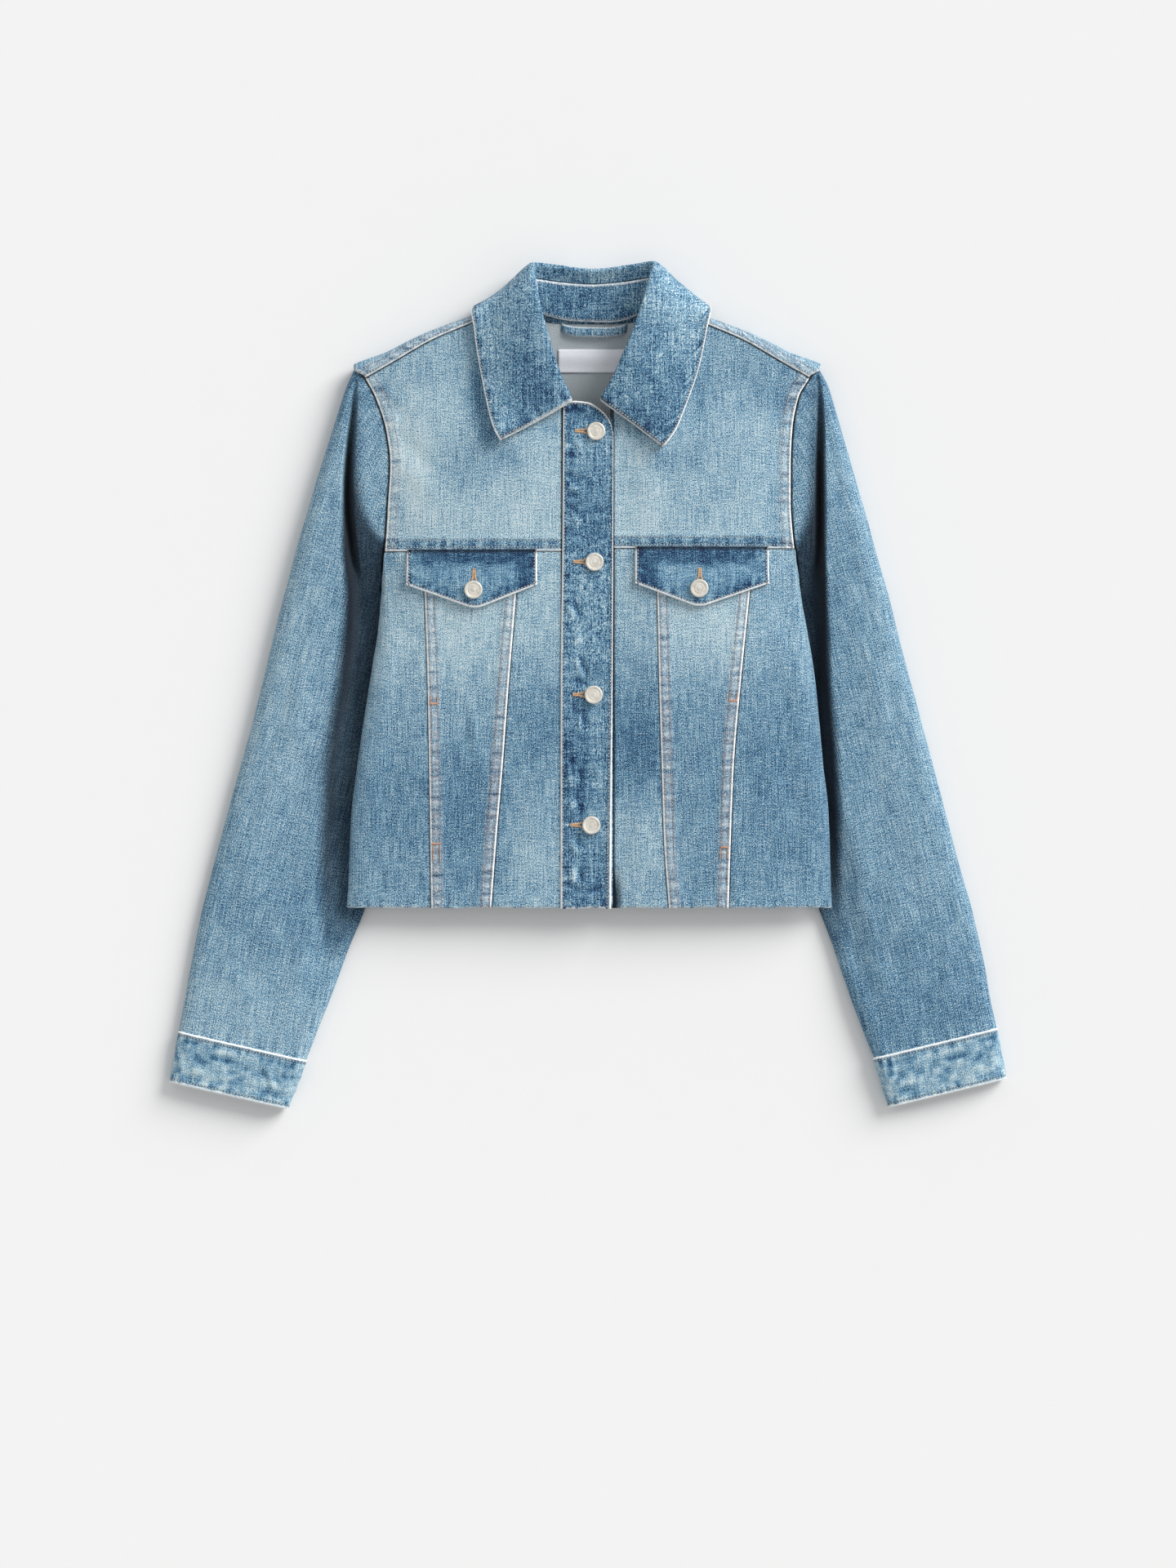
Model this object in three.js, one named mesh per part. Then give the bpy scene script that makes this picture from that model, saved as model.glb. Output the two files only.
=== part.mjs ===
// A denim trucker jacket lying on its back, closed with four buttons, sleeves slanting out beside the body.
// Units are millimetres. X runs to the viewer's right, Y up towards the collar, Z up off the surface.
// The wearer's right side is at -X. Every piece of cloth is a thin wall with its own node.

import * as THREE from 'three';

// Driving dimensions

const DENIM_WALL = 1.2; // single heavy denim
const DOUBLE_WALL = 2.0; // two turned layers: placket, flap, collar, cuff
const SEAM_GAP = 0.3; // clear space between neighbouring pieces
const SEAM_TURN = 1.5; // cloth turned in at an armhole seam
const HEM_Y = -185.4; // lowest edge of the fronts
const BACK_HEM_Y = -183.6;
const YOKE_SEAM_Y = 111.4; // front yoke seam, level with the pocket flaps
const BACK_YOKE_SEAM_Y = 150;
const PLACKET_HALF = 21; // the strip that carries the buttons is 42 wide
const PLACKET_PROUD = 0.9; // how far the top strip stands above the fronts
const PLACKET_WALL = 2.2;
const FLAP_PROUD = 2.4;
const BUTTON_RADIUS = 7.6; // a 24 line shank button
const BUTTON_HEIGHT = 3.2;
const PLACKET_BUTTON_CLEAR = 0.4; // under the button, whose base is flat where the strip is bowed
const FLAP_BUTTON_CLEAR = 0.6;
const CUFF_LENGTH = 42;
const CUFF_PROUD = 0.8; // the doubled cuff is fuller than the sleeve it takes in
const YOKE_TOP_Y = 256; // outer end of the shoulder seam
const SEAM_STEP = 2.4; // the wearer's left front hangs this much higher at the yoke seam
const NECK_SEAM_Y = 301.6; // back neck seam at the centre

// Body outline seen from above: armhole seams above the underarm at y 84, side folds below it

const OUTLINE = [
  { y: -186, left: 200.4, right: 203.2 },
  { y: -107, left: 196.9, right: 200.9 },
  { y: -67, left: 192.1, right: 196.5 },
  { y: -31, left: 186.8, right: 193.2 },
  { y: 13, left: 179.9, right: 188.6 },
  { y: 58, left: 173.4, right: 180.8 },
  { y: 84, left: 171.7, right: 176.8 },
  { y: 100, left: 170.3, right: 174.6 },
  { y: 124, left: 168.3, right: 171.5 },
  { y: 154, left: 166.6, right: 169.6 },
  { y: 184, left: 164.9, right: 169.7 },
  { y: 212, left: 168.3, right: 171.0 },
  { y: 240, left: 177.4, right: 176.3 },
  { y: 256, left: 186.0, right: 185.5 },
  { y: 266, left: 191.5, right: 190.5 },
];

// Rise of the fronts off the surface. crown is the middle, brow the start of the side fold,
// roll its width, edge the height of the outermost line, low and tuck where it turns under.

const RISE = [
  { y: -186, crown: 23, brow: 20, roll: 25, edge: 14.5, low: 9, tuck: 18 },
  { y: -120, crown: 25, brow: 22, roll: 26, edge: 15.5, low: 9, tuck: 19 },
  { y: -60, crown: 27, brow: 24, roll: 26, edge: 16, low: 9, tuck: 19 },
  { y: 0, crown: 28.5, brow: 24, roll: 24, edge: 16, low: 9, tuck: 18 },
  { y: 30, crown: 29, brow: 22.5, roll: 19, edge: 15, low: 9, tuck: 14 },
  { y: 60, crown: 29, brow: 20.5, roll: 13, edge: 13.5, low: 9.2, tuck: 8 },
  { y: 84, crown: 29, brow: 19, roll: 6, edge: 12.5, low: 10.5, tuck: 2 },
  { y: 100, crown: 29, brow: 19, roll: 3, edge: 18, low: 17, tuck: SEAM_TURN },
  { y: 130, crown: 29, brow: 19.5, roll: 3, edge: 19, low: 18, tuck: SEAM_TURN },
  { y: 200, crown: 27.5, brow: 19, roll: 3, edge: 18.5, low: 17.5, tuck: SEAM_TURN },
  { y: 256, crown: 23, brow: 17.5, roll: 3, edge: 17, low: 16, tuck: SEAM_TURN },
  { y: 325, crown: 21, brow: 20, roll: 3, edge: 19.5, low: 18.5, tuck: SEAM_TURN },
];

// Where the inner fold of each sleeve lies under the body, and so where the back rises over it

const UNDER_FOLD = [
  { y: -186, left: 187, right: 192 },
  { y: -167, left: 180, right: 185 },
  { y: -123, left: 168, right: 174 },
  { y: -80, left: 161, right: 167 },
  { y: -40, left: 157, right: 163.5 },
  { y: 0, left: 156.5, right: 162 },
  { y: 30, left: 159.5, right: 165 },
  { y: 60, left: 166, right: 171 },
  { y: 84, left: 172, right: 176 },
  { y: 97, left: 176, right: 180 },
  { y: 112, left: 188, right: 192 },
];

// Front shoulder seam and the fold of the shoulder behind it, by distance from the centre line

const SHOULDER = [
  { x: 46, seam: 320.5, fold: 326.5 },
  { x: 70, seam: 313, fold: 319 },
  { x: 98, seam: 301.4, fold: 307.6 },
  { x: 129.5, seam: 288, fold: 296.5 },
  { x: 163, seam: 269, fold: 280.5 },
  { x: 186, seam: 256, fold: 267.5 },
];
const SHOULDER_TURN = 10; // depth of the shoulder fold under the yoke
const SHOULDER_GAP = 0.9; // at the shoulder seam, where both walls lean towards each other

// Beside the top strip the wearer's left front lies lower, because it runs on underneath
const UNDERLAP = { sink: 1.7, from: 62, run: 42 };

// Where the back's lower face leaves the surface: over the sleeves by height, and at the collar
const UNDER_RISE = { run: 14, before: 18, topY: 112, steadyY: 60 };
const COLLAR_RISE = { fromX: 125, runX: 18, fromY: 262, runY: 14 };

// Width of a sleeve, by distance down it from the shoulder tip, measured across it and negative
// outwards: outer is the free edge and inner the hidden fold, on the wearer's right (L) and left (R).

const SLEEVE_WIDTH = [
  { down: 0, outerL: -1.0, outerR: -0.2, innerL: 0, innerR: 0 },
  { down: 17, outerL: -4.2, outerR: -4.2, innerL: 0, innerR: 0 },
  { down: 42, outerL: -6.2, outerR: -5.5, innerL: 0, innerR: 0 },
  { down: 98, outerL: -10.8, outerR: -8.0, innerL: 0, innerR: 0 },
  { down: 140, outerL: -13.4, outerR: -9.8, innerL: 0, innerR: 0 },
  { down: 155, outerL: -14.3, outerR: -10.0, innerL: 59, innerR: 56 },
  { down: 168, outerL: -14.7, outerR: -10.5, innerL: 61, innerR: 58.2 },
  { down: 176, outerL: -15.0, outerR: -10.9, innerL: 64.5, innerR: 60.6 },
  { down: 200, outerL: -15.9, outerR: -12.0, innerL: 77.5, innerR: 73.2 },
  { down: 225, outerL: -16.5, outerR: -12.0, innerL: 88.5, innerR: 84 },
  { down: 290, outerL: -17.4, outerR: -13.4, innerL: 104, innerR: 100.8 },
  { down: 370, outerL: -20.9, outerR: -15.3, innerL: 111, innerR: 109.2 },
  { down: 430, outerL: -23.2, outerR: -16.4, innerL: 108.4, innerR: 106.6 },
  { down: 470, outerL: -24.2, outerR: -18.0, innerL: 102.2, innerR: 102 },
  { down: 510, outerL: -23.1, outerR: -17.5, innerL: 97, innerR: 98.4 },
  { down: 545, outerL: -21.8, outerR: -15.3, innerL: 91.7, innerR: 94.2 },
  { down: 569.5, outerL: -20.6, outerR: -14.6, innerL: 88.2, innerR: 91 },
  { down: 612, outerL: -18.2, outerR: -12.2, innerL: 82, innerR: 87.8 },
];

// Rise of a sleeve: crown is the outer lobe, valley the middle of the steep crease beside it, half
// its half width, depth how far it sinks below both sides, cap the height from there to the inner edge.

const SLEEVE_RISE = [
  { down: 0, crown: 16.5, valleyL: 1.2, valleyR: 1.2, half: 1.5, depth: 0, cap: 16.5 },
  { down: 17, crown: 17.6, valleyL: 4.2, valleyR: 4.6, half: 3, depth: 2.5, cap: 17.4 },
  { down: 42, crown: 18.8, valleyL: 8, valleyR: 10, half: 4.5, depth: 7, cap: 18.2 },
  { down: 79, crown: 19.8, valleyL: 12.8, valleyR: 19, half: 5.5, depth: 10.5, cap: 18.6 },
  { down: 110, crown: 20.2, valleyL: 19.5, valleyR: 26.4, half: 6, depth: 11, cap: 18.4 },
  { down: 140, crown: 20.4, valleyL: 29.5, valleyR: 34, half: 6, depth: 9, cap: 16.5 },
  { down: 155, crown: 20.4, valleyL: 34.5, valleyR: 38, half: 6, depth: 6, cap: 13.5 },
  { down: 168, crown: 20.4, valleyL: 39, valleyR: 41, half: 6, depth: 2.6, cap: 9.5 },
  { down: 186, crown: 20.2, valleyL: 44.2, valleyR: 44.6, half: 6, depth: 0.7, cap: 7.6 },
  { down: 218, crown: 20, valleyL: 50.3, valleyR: 49.4, half: 6.5, depth: 0, cap: 7 },
  { down: 290, crown: 19, valleyL: 56, valleyR: 66, half: 8, depth: 0, cap: 7 },
  { down: 351, crown: 17.6, valleyL: 59, valleyR: 74, half: 10, depth: 0, cap: 7 },
  { down: 430, crown: 15.4, valleyL: 76, valleyR: 79, half: 15, depth: 0, cap: 7.4 },
  { down: 470, crown: 14.8, valleyL: 79, valleyR: 81, half: 13, depth: 0, cap: 9 },
  { down: 510, crown: 14.4, valleyL: 75, valleyR: 76, half: 9, depth: 0, cap: 12 },
  { down: 545, crown: 14.2, valleyL: 70, valleyR: 71, half: 8, depth: 0, cap: 13.4 },
  { down: 569.5, crown: 14, valleyL: 67, valleyR: 68, half: 7, depth: 0, cap: 13.6 },
  { down: 612, crown: 12.6, valleyL: 61.5, valleyR: 63, half: 6.5, depth: 0, cap: 12.2 },
];

// Width of the rounded edge of a sleeve, on its free side and on its inner side

const SLEEVE_ROLL = [
  { down: 0, outer: 2.4, inner: 1 },
  { down: 42, outer: 9, inner: 2 },
  { down: 140, outer: 15, inner: 2 },
  { down: 176, outer: 17, inner: 3 },
  { down: 225, outer: 18, inner: 6 },
  { down: 415, outer: 17, inner: 7 },
  { down: 510, outer: 15, inner: 11 },
  { down: 612, outer: 13, inner: 13 },
];
const SLEEVE_UNDERARM = 168; // distance down to the underarm
const SLEEVE_SEAM_AT_CUFF = 569.5;
const SLEEVE_UNDER_TURN = 6; // how far the edges turn in on the surface
const SLEEVE_RIM = 0.42; // height of the outermost line, as a share of the crown
const LOBE_RISE = 1.2; // the lobe's middle above its rounded edge, reached over LOBE_RUN
const LOBE_RUN = 14;
const CAP_TURN = 0.4; // how far the cap rounds down at the armhole seam

const SLEEVES = {
  right: {
    sign: -1, tip: [-194.8, 261.1], along: [-0.222, -0.975],
    outer: 'outerL', inner: 'innerL', valley: 'valleyL',
  },
  left: {
    sign: 1, tip: [193.5, 263.2], along: [0.235, -0.972],
    outer: 'outerR', inner: 'innerR', valley: 'valleyR',
  },
};

// Seams of the fronts below the flaps, by height: inner and outer seam on each side

const FRONT_SEAMS = [
  { y: -186, innerL: -80.2, outerL: -130.3, innerR: 67.6, outerR: 117.4 },
  { y: -133, innerL: -76.2, outerL: -131.0, innerR: 63.6, outerR: 119.0 },
  { y: -67, innerL: -70.6, outerL: -132.0, innerR: 61.4, outerR: 121.6 },
  { y: 0, innerL: -65.6, outerL: -133.2, innerR: 59.4, outerR: 127.2 },
  { y: 75, innerL: -59.5, outerL: -135.7, innerR: 57.7, outerR: 134.8 },
  { y: 112, innerL: -57.0, outerL: -137.0, innerR: 56.8, outerR: 138.4 },
];

// Pocket flaps: a straight top in the yoke seam, short sides and a blunt point below

const FLAPS = {
  right: {
    low: -150.8, high: -41.9, point: [-93.2, 62.8], sideY: 83.2, topStep: 0, button: [-94.9, 79.0],
  },
  left: {
    low: 39.4, high: 151.0, point: [92.7, 64.3], sideY: 84.4, topStep: SEAM_STEP, button: [92.7, 80.2],
  },
};
const FLAP_WALL = 1.9;
const FLAP_TOP_Y = 110.9;

// Collar sections from the wearer's right front end, round the back of the neck, to the left one.
// neck is the seam to the body, seam joins stand and leaf, roll is the fold line, brow and edge
// follow the leaf outwards. A height written as 'lie' rests on the front below.

const COLLAR = [
  {
    neck: [-18, 240, 'lie'], seam: [-14.5, 239, 29.5], roll: [-12, 237, 33.5],
    brow: [-42, 218.5, 33], edge: [-72.4, 203, 'lie'],
  },
  {
    neck: [-27, 257, 'lie'], seam: [-22.5, 255, 32], roll: [-20.6, 253.8, 36.5],
    brow: [-50, 234, 35], edge: [-76.8, 212, 'lie'],
  },
  {
    neck: [-36, 281, 'lie'], seam: [-31, 280, 34], roll: [-29.6, 279.8, 39],
    brow: [-59, 257, 36], edge: [-82.2, 231, 'lie'],
  },
  {
    neck: [-43, 303, 'lie'], seam: [-37.5, 304, 34], roll: [-36.8, 306, 39.5],
    brow: [-66, 286, 35], edge: [-88.6, 262, 'lie'],
  },
  {
    neck: [-49.5, 319, 22], seam: [-41.5, 322, 32], roll: [-42.3, 326.6, 38],
    brow: [-70, 312, 33], edge: [-93.2, 289, 'lie'],
  },
  {
    neck: [-46, 320, 17], seam: [-42.5, 331, 27], roll: [-44.6, 340, 34],
    brow: [-75, 322, 26], edge: [-95.6, 306, 'lie'],
  },
  {
    neck: [-43.5, 316, 12], seam: [-43.5, 336, 21], roll: [-45.6, 347, 29],
    brow: [-73, 328, 16], edge: [-93.6, 316.5, 7.5],
  },
  {
    neck: [-42, 313.5, 10], seam: [-43.7, 338, 18], roll: [-45.4, 350, 26],
    brow: [-68, 334.5, 8], edge: [-83, 318.5, 0.4],
  },
  {
    neck: [-40, 311, 8.6], seam: [-43.5, 339, 15.5], roll: [-44.4, 352, 22],
    brow: [-59, 340, 4], edge: [-70, 304, 0],
  },
  {
    neck: [-22, 305.5, 6.2], seam: [-24, 337, 10], roll: [-25, 349.8, 16],
    brow: [-32, 346, 0], edge: [-38, 292, 0],
  },
  {
    neck: [3, 303.4, 5.6], seam: [4, 335.2, 8.6], roll: [5, 346.8, 13.5],
    brow: [5, 344, 0], edge: [4, 288, 0],
  },
  {
    neck: [27, 304, 6.2], seam: [32, 337.4, 10], roll: [34, 349.9, 16],
    brow: [41, 346.4, 0], edge: [47, 292, 0],
  },
  {
    neck: [45, 311, 8.6], seam: [52.3, 340, 15.5], roll: [54.4, 352.8, 22],
    brow: [68, 342, 4], edge: [78, 305, 0],
  },
  {
    neck: [47, 314, 10], seam: [52, 338.5, 18], roll: [55, 350, 26],
    brow: [76, 337, 8], edge: [91, 319.5, 0.4],
  },
  {
    neck: [49, 317, 12], seam: [51.5, 336, 21], roll: [54.2, 346, 29],
    brow: [81, 331, 16], edge: [100.4, 316.5, 7.5],
  },
  {
    neck: [52, 320, 17], seam: [49.5, 329, 27], roll: [52, 338.5, 34],
    brow: [81, 322, 26], edge: [101, 305, 'lie'],
  },
  {
    neck: [54, 318, 22], seam: [46.8, 319, 32], roll: [47.4, 323.1, 38],
    brow: [76, 309, 33], edge: [97.4, 289, 'lie'],
  },
  {
    neck: [47, 300, 'lie'], seam: [41, 301, 34], roll: [40.4, 302.6, 39.5],
    brow: [70, 283, 35], edge: [91.4, 262, 'lie'],
  },
  {
    neck: [36, 277, 'lie'], seam: [31, 276.4, 34], roll: [29.8, 276.3, 39],
    brow: [60, 254, 36], edge: [81, 232, 'lie'],
  },
  {
    neck: [26, 255, 'lie'], seam: [21.4, 254, 32], roll: [19.4, 253.6, 36.5],
    brow: [49, 232, 35], edge: [71.6, 210, 'lie'],
  },
  {
    neck: [17.4, 240, 'lie'], seam: [12.5, 238.6, 29.5], roll: [9.5, 237.6, 33.5],
    brow: [39, 215.5, 33], edge: [62.6, 197.6, 'lie'],
  },
];
const LEAF_WALL = 1.6;
const LEAF_CLEAR = 3.4; // outer face of the leaf's edge above the front it lies on
const STAND_WALL = 1.4;
const COLLAR_LIFT = 2.6; // the back yoke rises over the part of the leaf that is folded under it

const BUTTONS = [
  { name: 'placket_button_1', x: 7.1, y: 211.0 },
  { name: 'placket_button_2', x: 5.8, y: 102.2 },
  { name: 'placket_button_3', x: 5.0, y: -8.2 },
  { name: 'placket_button_4', x: 3.1, y: -116.6 },
];

const denim = new THREE.MeshStandardMaterial({ color: 0x6f8fb4, roughness: 0.9, metalness: 0 });
const denimDeep = new THREE.MeshStandardMaterial({ color: 0x5b7aa2, roughness: 0.9, metalness: 0 });
const denimPale = new THREE.MeshStandardMaterial({ color: 0x8fabc6, roughness: 0.9, metalness: 0 });
const reverse = new THREE.MeshStandardMaterial({ color: 0xb0aba2, roughness: 0.95, metalness: 0 });
const tapeWhite = new THREE.MeshStandardMaterial({ color: 0xdfdfe8, roughness: 0.8, metalness: 0 });
const silver = new THREE.MeshStandardMaterial({ color: 0xc9c3b4, roughness: 0.4, metalness: 0.9 });

// Interpolation

const clamp = (value, low, high) => Math.min(high, Math.max(low, value));
const mix = (a, b, t) => a + (b - a) * t;
const ease = (t) => {
  const c = clamp(t, 0, 1);
  return c * c * (3 - 2 * c);
};
const steps = (from, to, count) => Array.from({ length: count + 1 }, (_, i) => mix(from, to, i / count));

// Reads a column of a table at any place, with a smooth curve that never overshoots a row.
function read(table, key, column, at) {
  const last = table.length - 1;
  if (at <= table[0][key]) return table[0][column];
  if (at >= table[last][key]) return table[last][column];
  let i = 0;
  while (table[i + 1][key] < at) i += 1;
  const rate = (k) => (table[k + 1][column] - table[k][column]) / (table[k + 1][key] - table[k][key]);
  const slope = (k) => {
    if (k === 0 || k === last) return rate(Math.min(k, last - 1));
    const before = rate(k - 1);
    const after = rate(k);
    return before * after <= 0 ? 0 : (2 * before * after) / (before + after);
  };
  const span = table[i + 1][key] - table[i][key];
  const t = (at - table[i][key]) / span;
  const a = table[i][column];
  const b = table[i + 1][column];
  const curve = t * t * (3 - 2 * t);
  return a + (b - a) * curve + span * (slope(i) * t * (1 - t) * (1 - t) - slope(i + 1) * t * t * (1 - t));
}

// Surfaces

const edgeAt = (sign, y) => read(OUTLINE, 'y', sign < 0 ? 'left' : 'right', y);
const riseAt = (column, y) => read(RISE, 'y', column, y);

// Outer face of the fronts. across is the distance from the centre line measured over the cloth:
// past the brow it goes round the side fold and back under the body.
function front(across, y) {
  const sign = across < 0 ? -1 : 1;
  const roll = riseAt('roll', y);
  const edge = edgeAt(sign, y);
  const flat = edge - roll;
  const reach = Math.abs(across);
  const brow = riseAt('brow', y);
  const rim = riseAt('edge', y);
  if (reach <= flat) {
    const t = reach / flat;
    const step = across > 0 ? UNDERLAP.sink * ease((UNDERLAP.from - across) / UNDERLAP.run) : 0;
    const crown = riseAt('crown', y);
    return new THREE.Vector3(across, y, crown + (brow - crown) * t ** 4 - step);
  }
  const upper = (roll * Math.PI) / 2;
  const angle = ((reach - flat) / upper) * (Math.PI / 2);
  if (reach - flat <= upper) {
    return new THREE.Vector3(sign * (flat + roll * Math.sin(angle)), y, rim + (brow - rim) * Math.cos(angle));
  }
  const tuck = riseAt('tuck', y);
  const under = clamp((reach - flat - upper) / tuck, 0, 1) * (Math.PI / 2);
  const low = riseAt('low', y);
  const x = sign * (edge - tuck * (1 - Math.cos(under)));
  return new THREE.Vector3(x, y, rim - (rim - low) * Math.sin(under));
}

// Where the cloth of a front ends: at the armhole seam, or at the side seam under the body.
function reachAt(sign, y) {
  const roll = riseAt('roll', y);
  return edgeAt(sign, y) - roll + (roll * Math.PI) / 2 + riseAt('tuck', y);
}

// Height of the back's lower face: flat on the surface, higher over the sleeves and over the collar.
function floorAt(x, y) {
  const fold = read(UNDER_FOLD, 'y', x < 0 ? 'left' : 'right', y);
  const beyond = Math.abs(x) - fold + UNDER_RISE.before;
  const overSleeve = riseAt('low', Math.min(y, UNDER_RISE.steadyY)) * ease(beyond / UNDER_RISE.run);
  const inX = ease((COLLAR_RISE.fromX - Math.abs(x)) / COLLAR_RISE.runX);
  const inY = ease((y - COLLAR_RISE.fromY) / COLLAR_RISE.runY);
  return y > UNDER_RISE.topY ? COLLAR_LIFT * inX * inY : overSleeve;
}

// A point of a sleeve in the jacket's frame.
function sleevePoint(arm, down, across, height) {
  const [ax, ay] = arm.along;
  const inward = [arm.sign * ay, -arm.sign * ax];
  return new THREE.Vector3(
    arm.tip[0] + ax * down + inward[0] * across,
    arm.tip[1] + ay * down + inward[1] * across,
    height,
  );
}

// Across the sleeve to the armhole seam, found by stepping towards the body's outline.
const ARMHOLE_SEARCH = { start: 20, passes: 14, least: 1, most: 90 };
const ARMHOLE_GAP = SEAM_GAP + 0.1;

function armholeAt(arm, down) {
  let across = ARMHOLE_SEARCH.start;
  for (let pass = 0; pass < ARMHOLE_SEARCH.passes; pass += 1) {
    const point = sleevePoint(arm, down, across, 0);
    const target = arm.sign * (edgeAt(arm.sign, point.y) + ARMHOLE_GAP);
    across -= ((point.x - target) * -arm.sign) / Math.abs(arm.along[1]);
    across = clamp(across, ARMHOLE_SEARCH.least, ARMHOLE_SEARCH.most);
  }
  return across;
}

const SECTION_STEPS = { under: 3, roll: 4, innerRoll: 3, innerUnder: 3 };
const VALLEY_STATIONS = [-1, -0.62, -0.25, 0.15, 0.55, 1]; // columns over the crease, in half widths

// One section of a sleeve, from its free edge underneath, over the top, to its inner edge.
function sleeveSection(arm, down, proud = 0) {
  const width = (column) => read(SLEEVE_WIDTH, 'down', column, down);
  const rise = (column) => read(SLEEVE_RISE, 'down', column, down);
  const sewn = down < SLEEVE_UNDERARM;
  const outer = width(arm.outer) - proud;
  const inner = (sewn ? armholeAt(arm, down) : width(arm.inner)) + proud;
  const span = inner - outer;
  const roll = Math.min(read(SLEEVE_ROLL, 'down', 'outer', down), span * 0.4);
  const innerRoll = Math.min(read(SLEEVE_ROLL, 'down', 'inner', down), span * 0.2);
  const crown = rise('crown') + proud * 2;
  const cap = rise('cap') + proud * 2;
  const shoulder = crown - LOBE_RISE;
  const rim = crown * SLEEVE_RIM;
  const quarter = Math.PI / 2;
  const points = [];
  const outerTurn = Math.min(SLEEVE_UNDER_TURN, span * 0.3);
  steps(0, quarter, SECTION_STEPS.under).forEach((a) => {
    points.push([outer + outerTurn * (1 - Math.sin(a)), rim * (1 - Math.cos(a))]);
  });
  steps(0, quarter, SECTION_STEPS.roll).slice(1).forEach((a) => {
    points.push([outer + roll * (1 - Math.cos(a)), rim + (shoulder - rim) * Math.sin(a)]);
  });
  const topFrom = outer + roll;
  const topTo = inner - innerRoll;
  const half = Math.min(rise('half'), (topTo - topFrom) * 0.3);
  const valley = clamp(rise(arm.valley), topFrom + half * 1.2, topTo - half * 1.2);
  const stations = VALLEY_STATIONS.map((k) => valley + half * k);
  const tops = [mix(topFrom, stations[0], 0.5), ...stations, mix(stations[5], topTo, 0.5), topTo];
  tops.forEach((across) => {
    const lobe = shoulder + LOBE_RISE * ease((across - topFrom) / LOBE_RUN);
    const fall = ease((across - valley + half) / (2 * half));
    const sink = rise('depth') * (1 - ease(Math.abs(across - valley) / half));
    points.push([across, mix(lobe, cap, fall) - sink]);
  });
  const innerRim = sewn ? cap - CAP_TURN : cap * 0.5;
  const innerLow = sewn ? cap - CAP_TURN - 1 : 0;
  const innerTurn = sewn ? 0 : Math.min(SLEEVE_UNDER_TURN, innerRoll);
  steps(0, quarter, SECTION_STEPS.innerRoll).slice(1).forEach((a) => {
    points.push([topTo + innerRoll * Math.sin(a), innerRim + (cap - innerRim) * Math.cos(a)]);
  });
  steps(0, quarter, SECTION_STEPS.innerUnder).slice(1).forEach((a) => {
    const turn = Math.max(innerTurn, 0.05) * (1 - Math.cos(a));
    points.push([inner - turn, innerRim - (innerRim - innerLow) * Math.sin(a)]);
  });
  return { points, outer: outer + outerTurn, inner: inner - innerTurn };
}

// Solids

// Closes two matching grids of points into one wall. Each grid is a list of rows.
function closeGrids(faceA, faceB) {
  const rows = faceA.length;
  const columns = faceA[0].length;
  const positions = [...faceA.flat(), ...faceB.flat()].flatMap((p) => [p.x, p.y, p.z]);
  const a = (r, c) => r * columns + c;
  const b = (r, c) => rows * columns + a(r, c);
  const index = [];
  const quad = (p, q, r, s) => index.push(p, q, r, p, r, s);
  for (let r = 0; r < rows - 1; r += 1) {
    for (let c = 0; c < columns - 1; c += 1) {
      quad(a(r, c), a(r, c + 1), a(r + 1, c + 1), a(r + 1, c));
      quad(b(r, c), b(r + 1, c), b(r + 1, c + 1), b(r, c + 1));
    }
    quad(a(r, 0), a(r + 1, 0), b(r + 1, 0), b(r, 0));
    quad(a(r, columns - 1), b(r, columns - 1), b(r + 1, columns - 1), a(r + 1, columns - 1));
  }
  for (let c = 0; c < columns - 1; c += 1) {
    quad(a(0, c), b(0, c), b(0, c + 1), a(0, c + 1));
    quad(a(rows - 1, c), a(rows - 1, c + 1), b(rows - 1, c + 1), b(rows - 1, c));
  }
  return faceOut(positions, index);
}

// Builds a geometry and turns its faces outwards.
function faceOut(positions, index) {
  let volume = 0;
  const point = (i) => new THREE.Vector3(positions[3 * i], positions[3 * i + 1], positions[3 * i + 2]);
  for (let i = 0; i < index.length; i += 3) {
    volume += point(index[i]).dot(point(index[i + 1]).cross(point(index[i + 2])));
  }
  if (volume < 0) {
    for (let i = 0; i < index.length; i += 3) [index[i + 1], index[i + 2]] = [index[i + 2], index[i + 1]];
  }
  const geometry = new THREE.BufferGeometry();
  geometry.setAttribute('position', new THREE.Float32BufferAttribute(positions, 3));
  geometry.setIndex(index);
  geometry.computeVertexNormals();
  return geometry;
}

// Normals of a grid, taken across its rows and columns.
function gridNormals(grid) {
  const last = grid.length - 1;
  const side = grid[0].length - 1;
  return grid.map((row, r) => row.map((_, c) => {
    const along = grid[Math.min(r + 1, last)][c].clone().sub(grid[Math.max(r - 1, 0)][c]);
    const across = row[Math.min(c + 1, side)].clone().sub(row[Math.max(c - 1, 0)]);
    return across.cross(along).normalize();
  }));
}

// A wall of cloth on one side of a grid: a positive thickness grows along the grid's normal.
function cloth(grid, thickness) {
  const normals = gridNormals(grid);
  const other = grid.map((row, r) => row.map((p, c) => p.clone().addScaledVector(normals[r][c], thickness)));
  return closeGrids(grid, other);
}

const jacket = new THREE.Group();

function add(name, geometry, material) {
  const mesh = new THREE.Mesh(geometry, material);
  mesh.name = name;
  jacket.add(mesh);
  return mesh;
}

// Back of the body

// Half width of the back at a height: out to the armhole seam, or to the side seam under the side
// fold, where the two walls meet edge to edge and stand further apart.
const SIDE_SEAM = { gap: 1.9, fromY: 104, runY: 20 };
const BACK_GAP = SEAM_GAP + 0.2;

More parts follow.
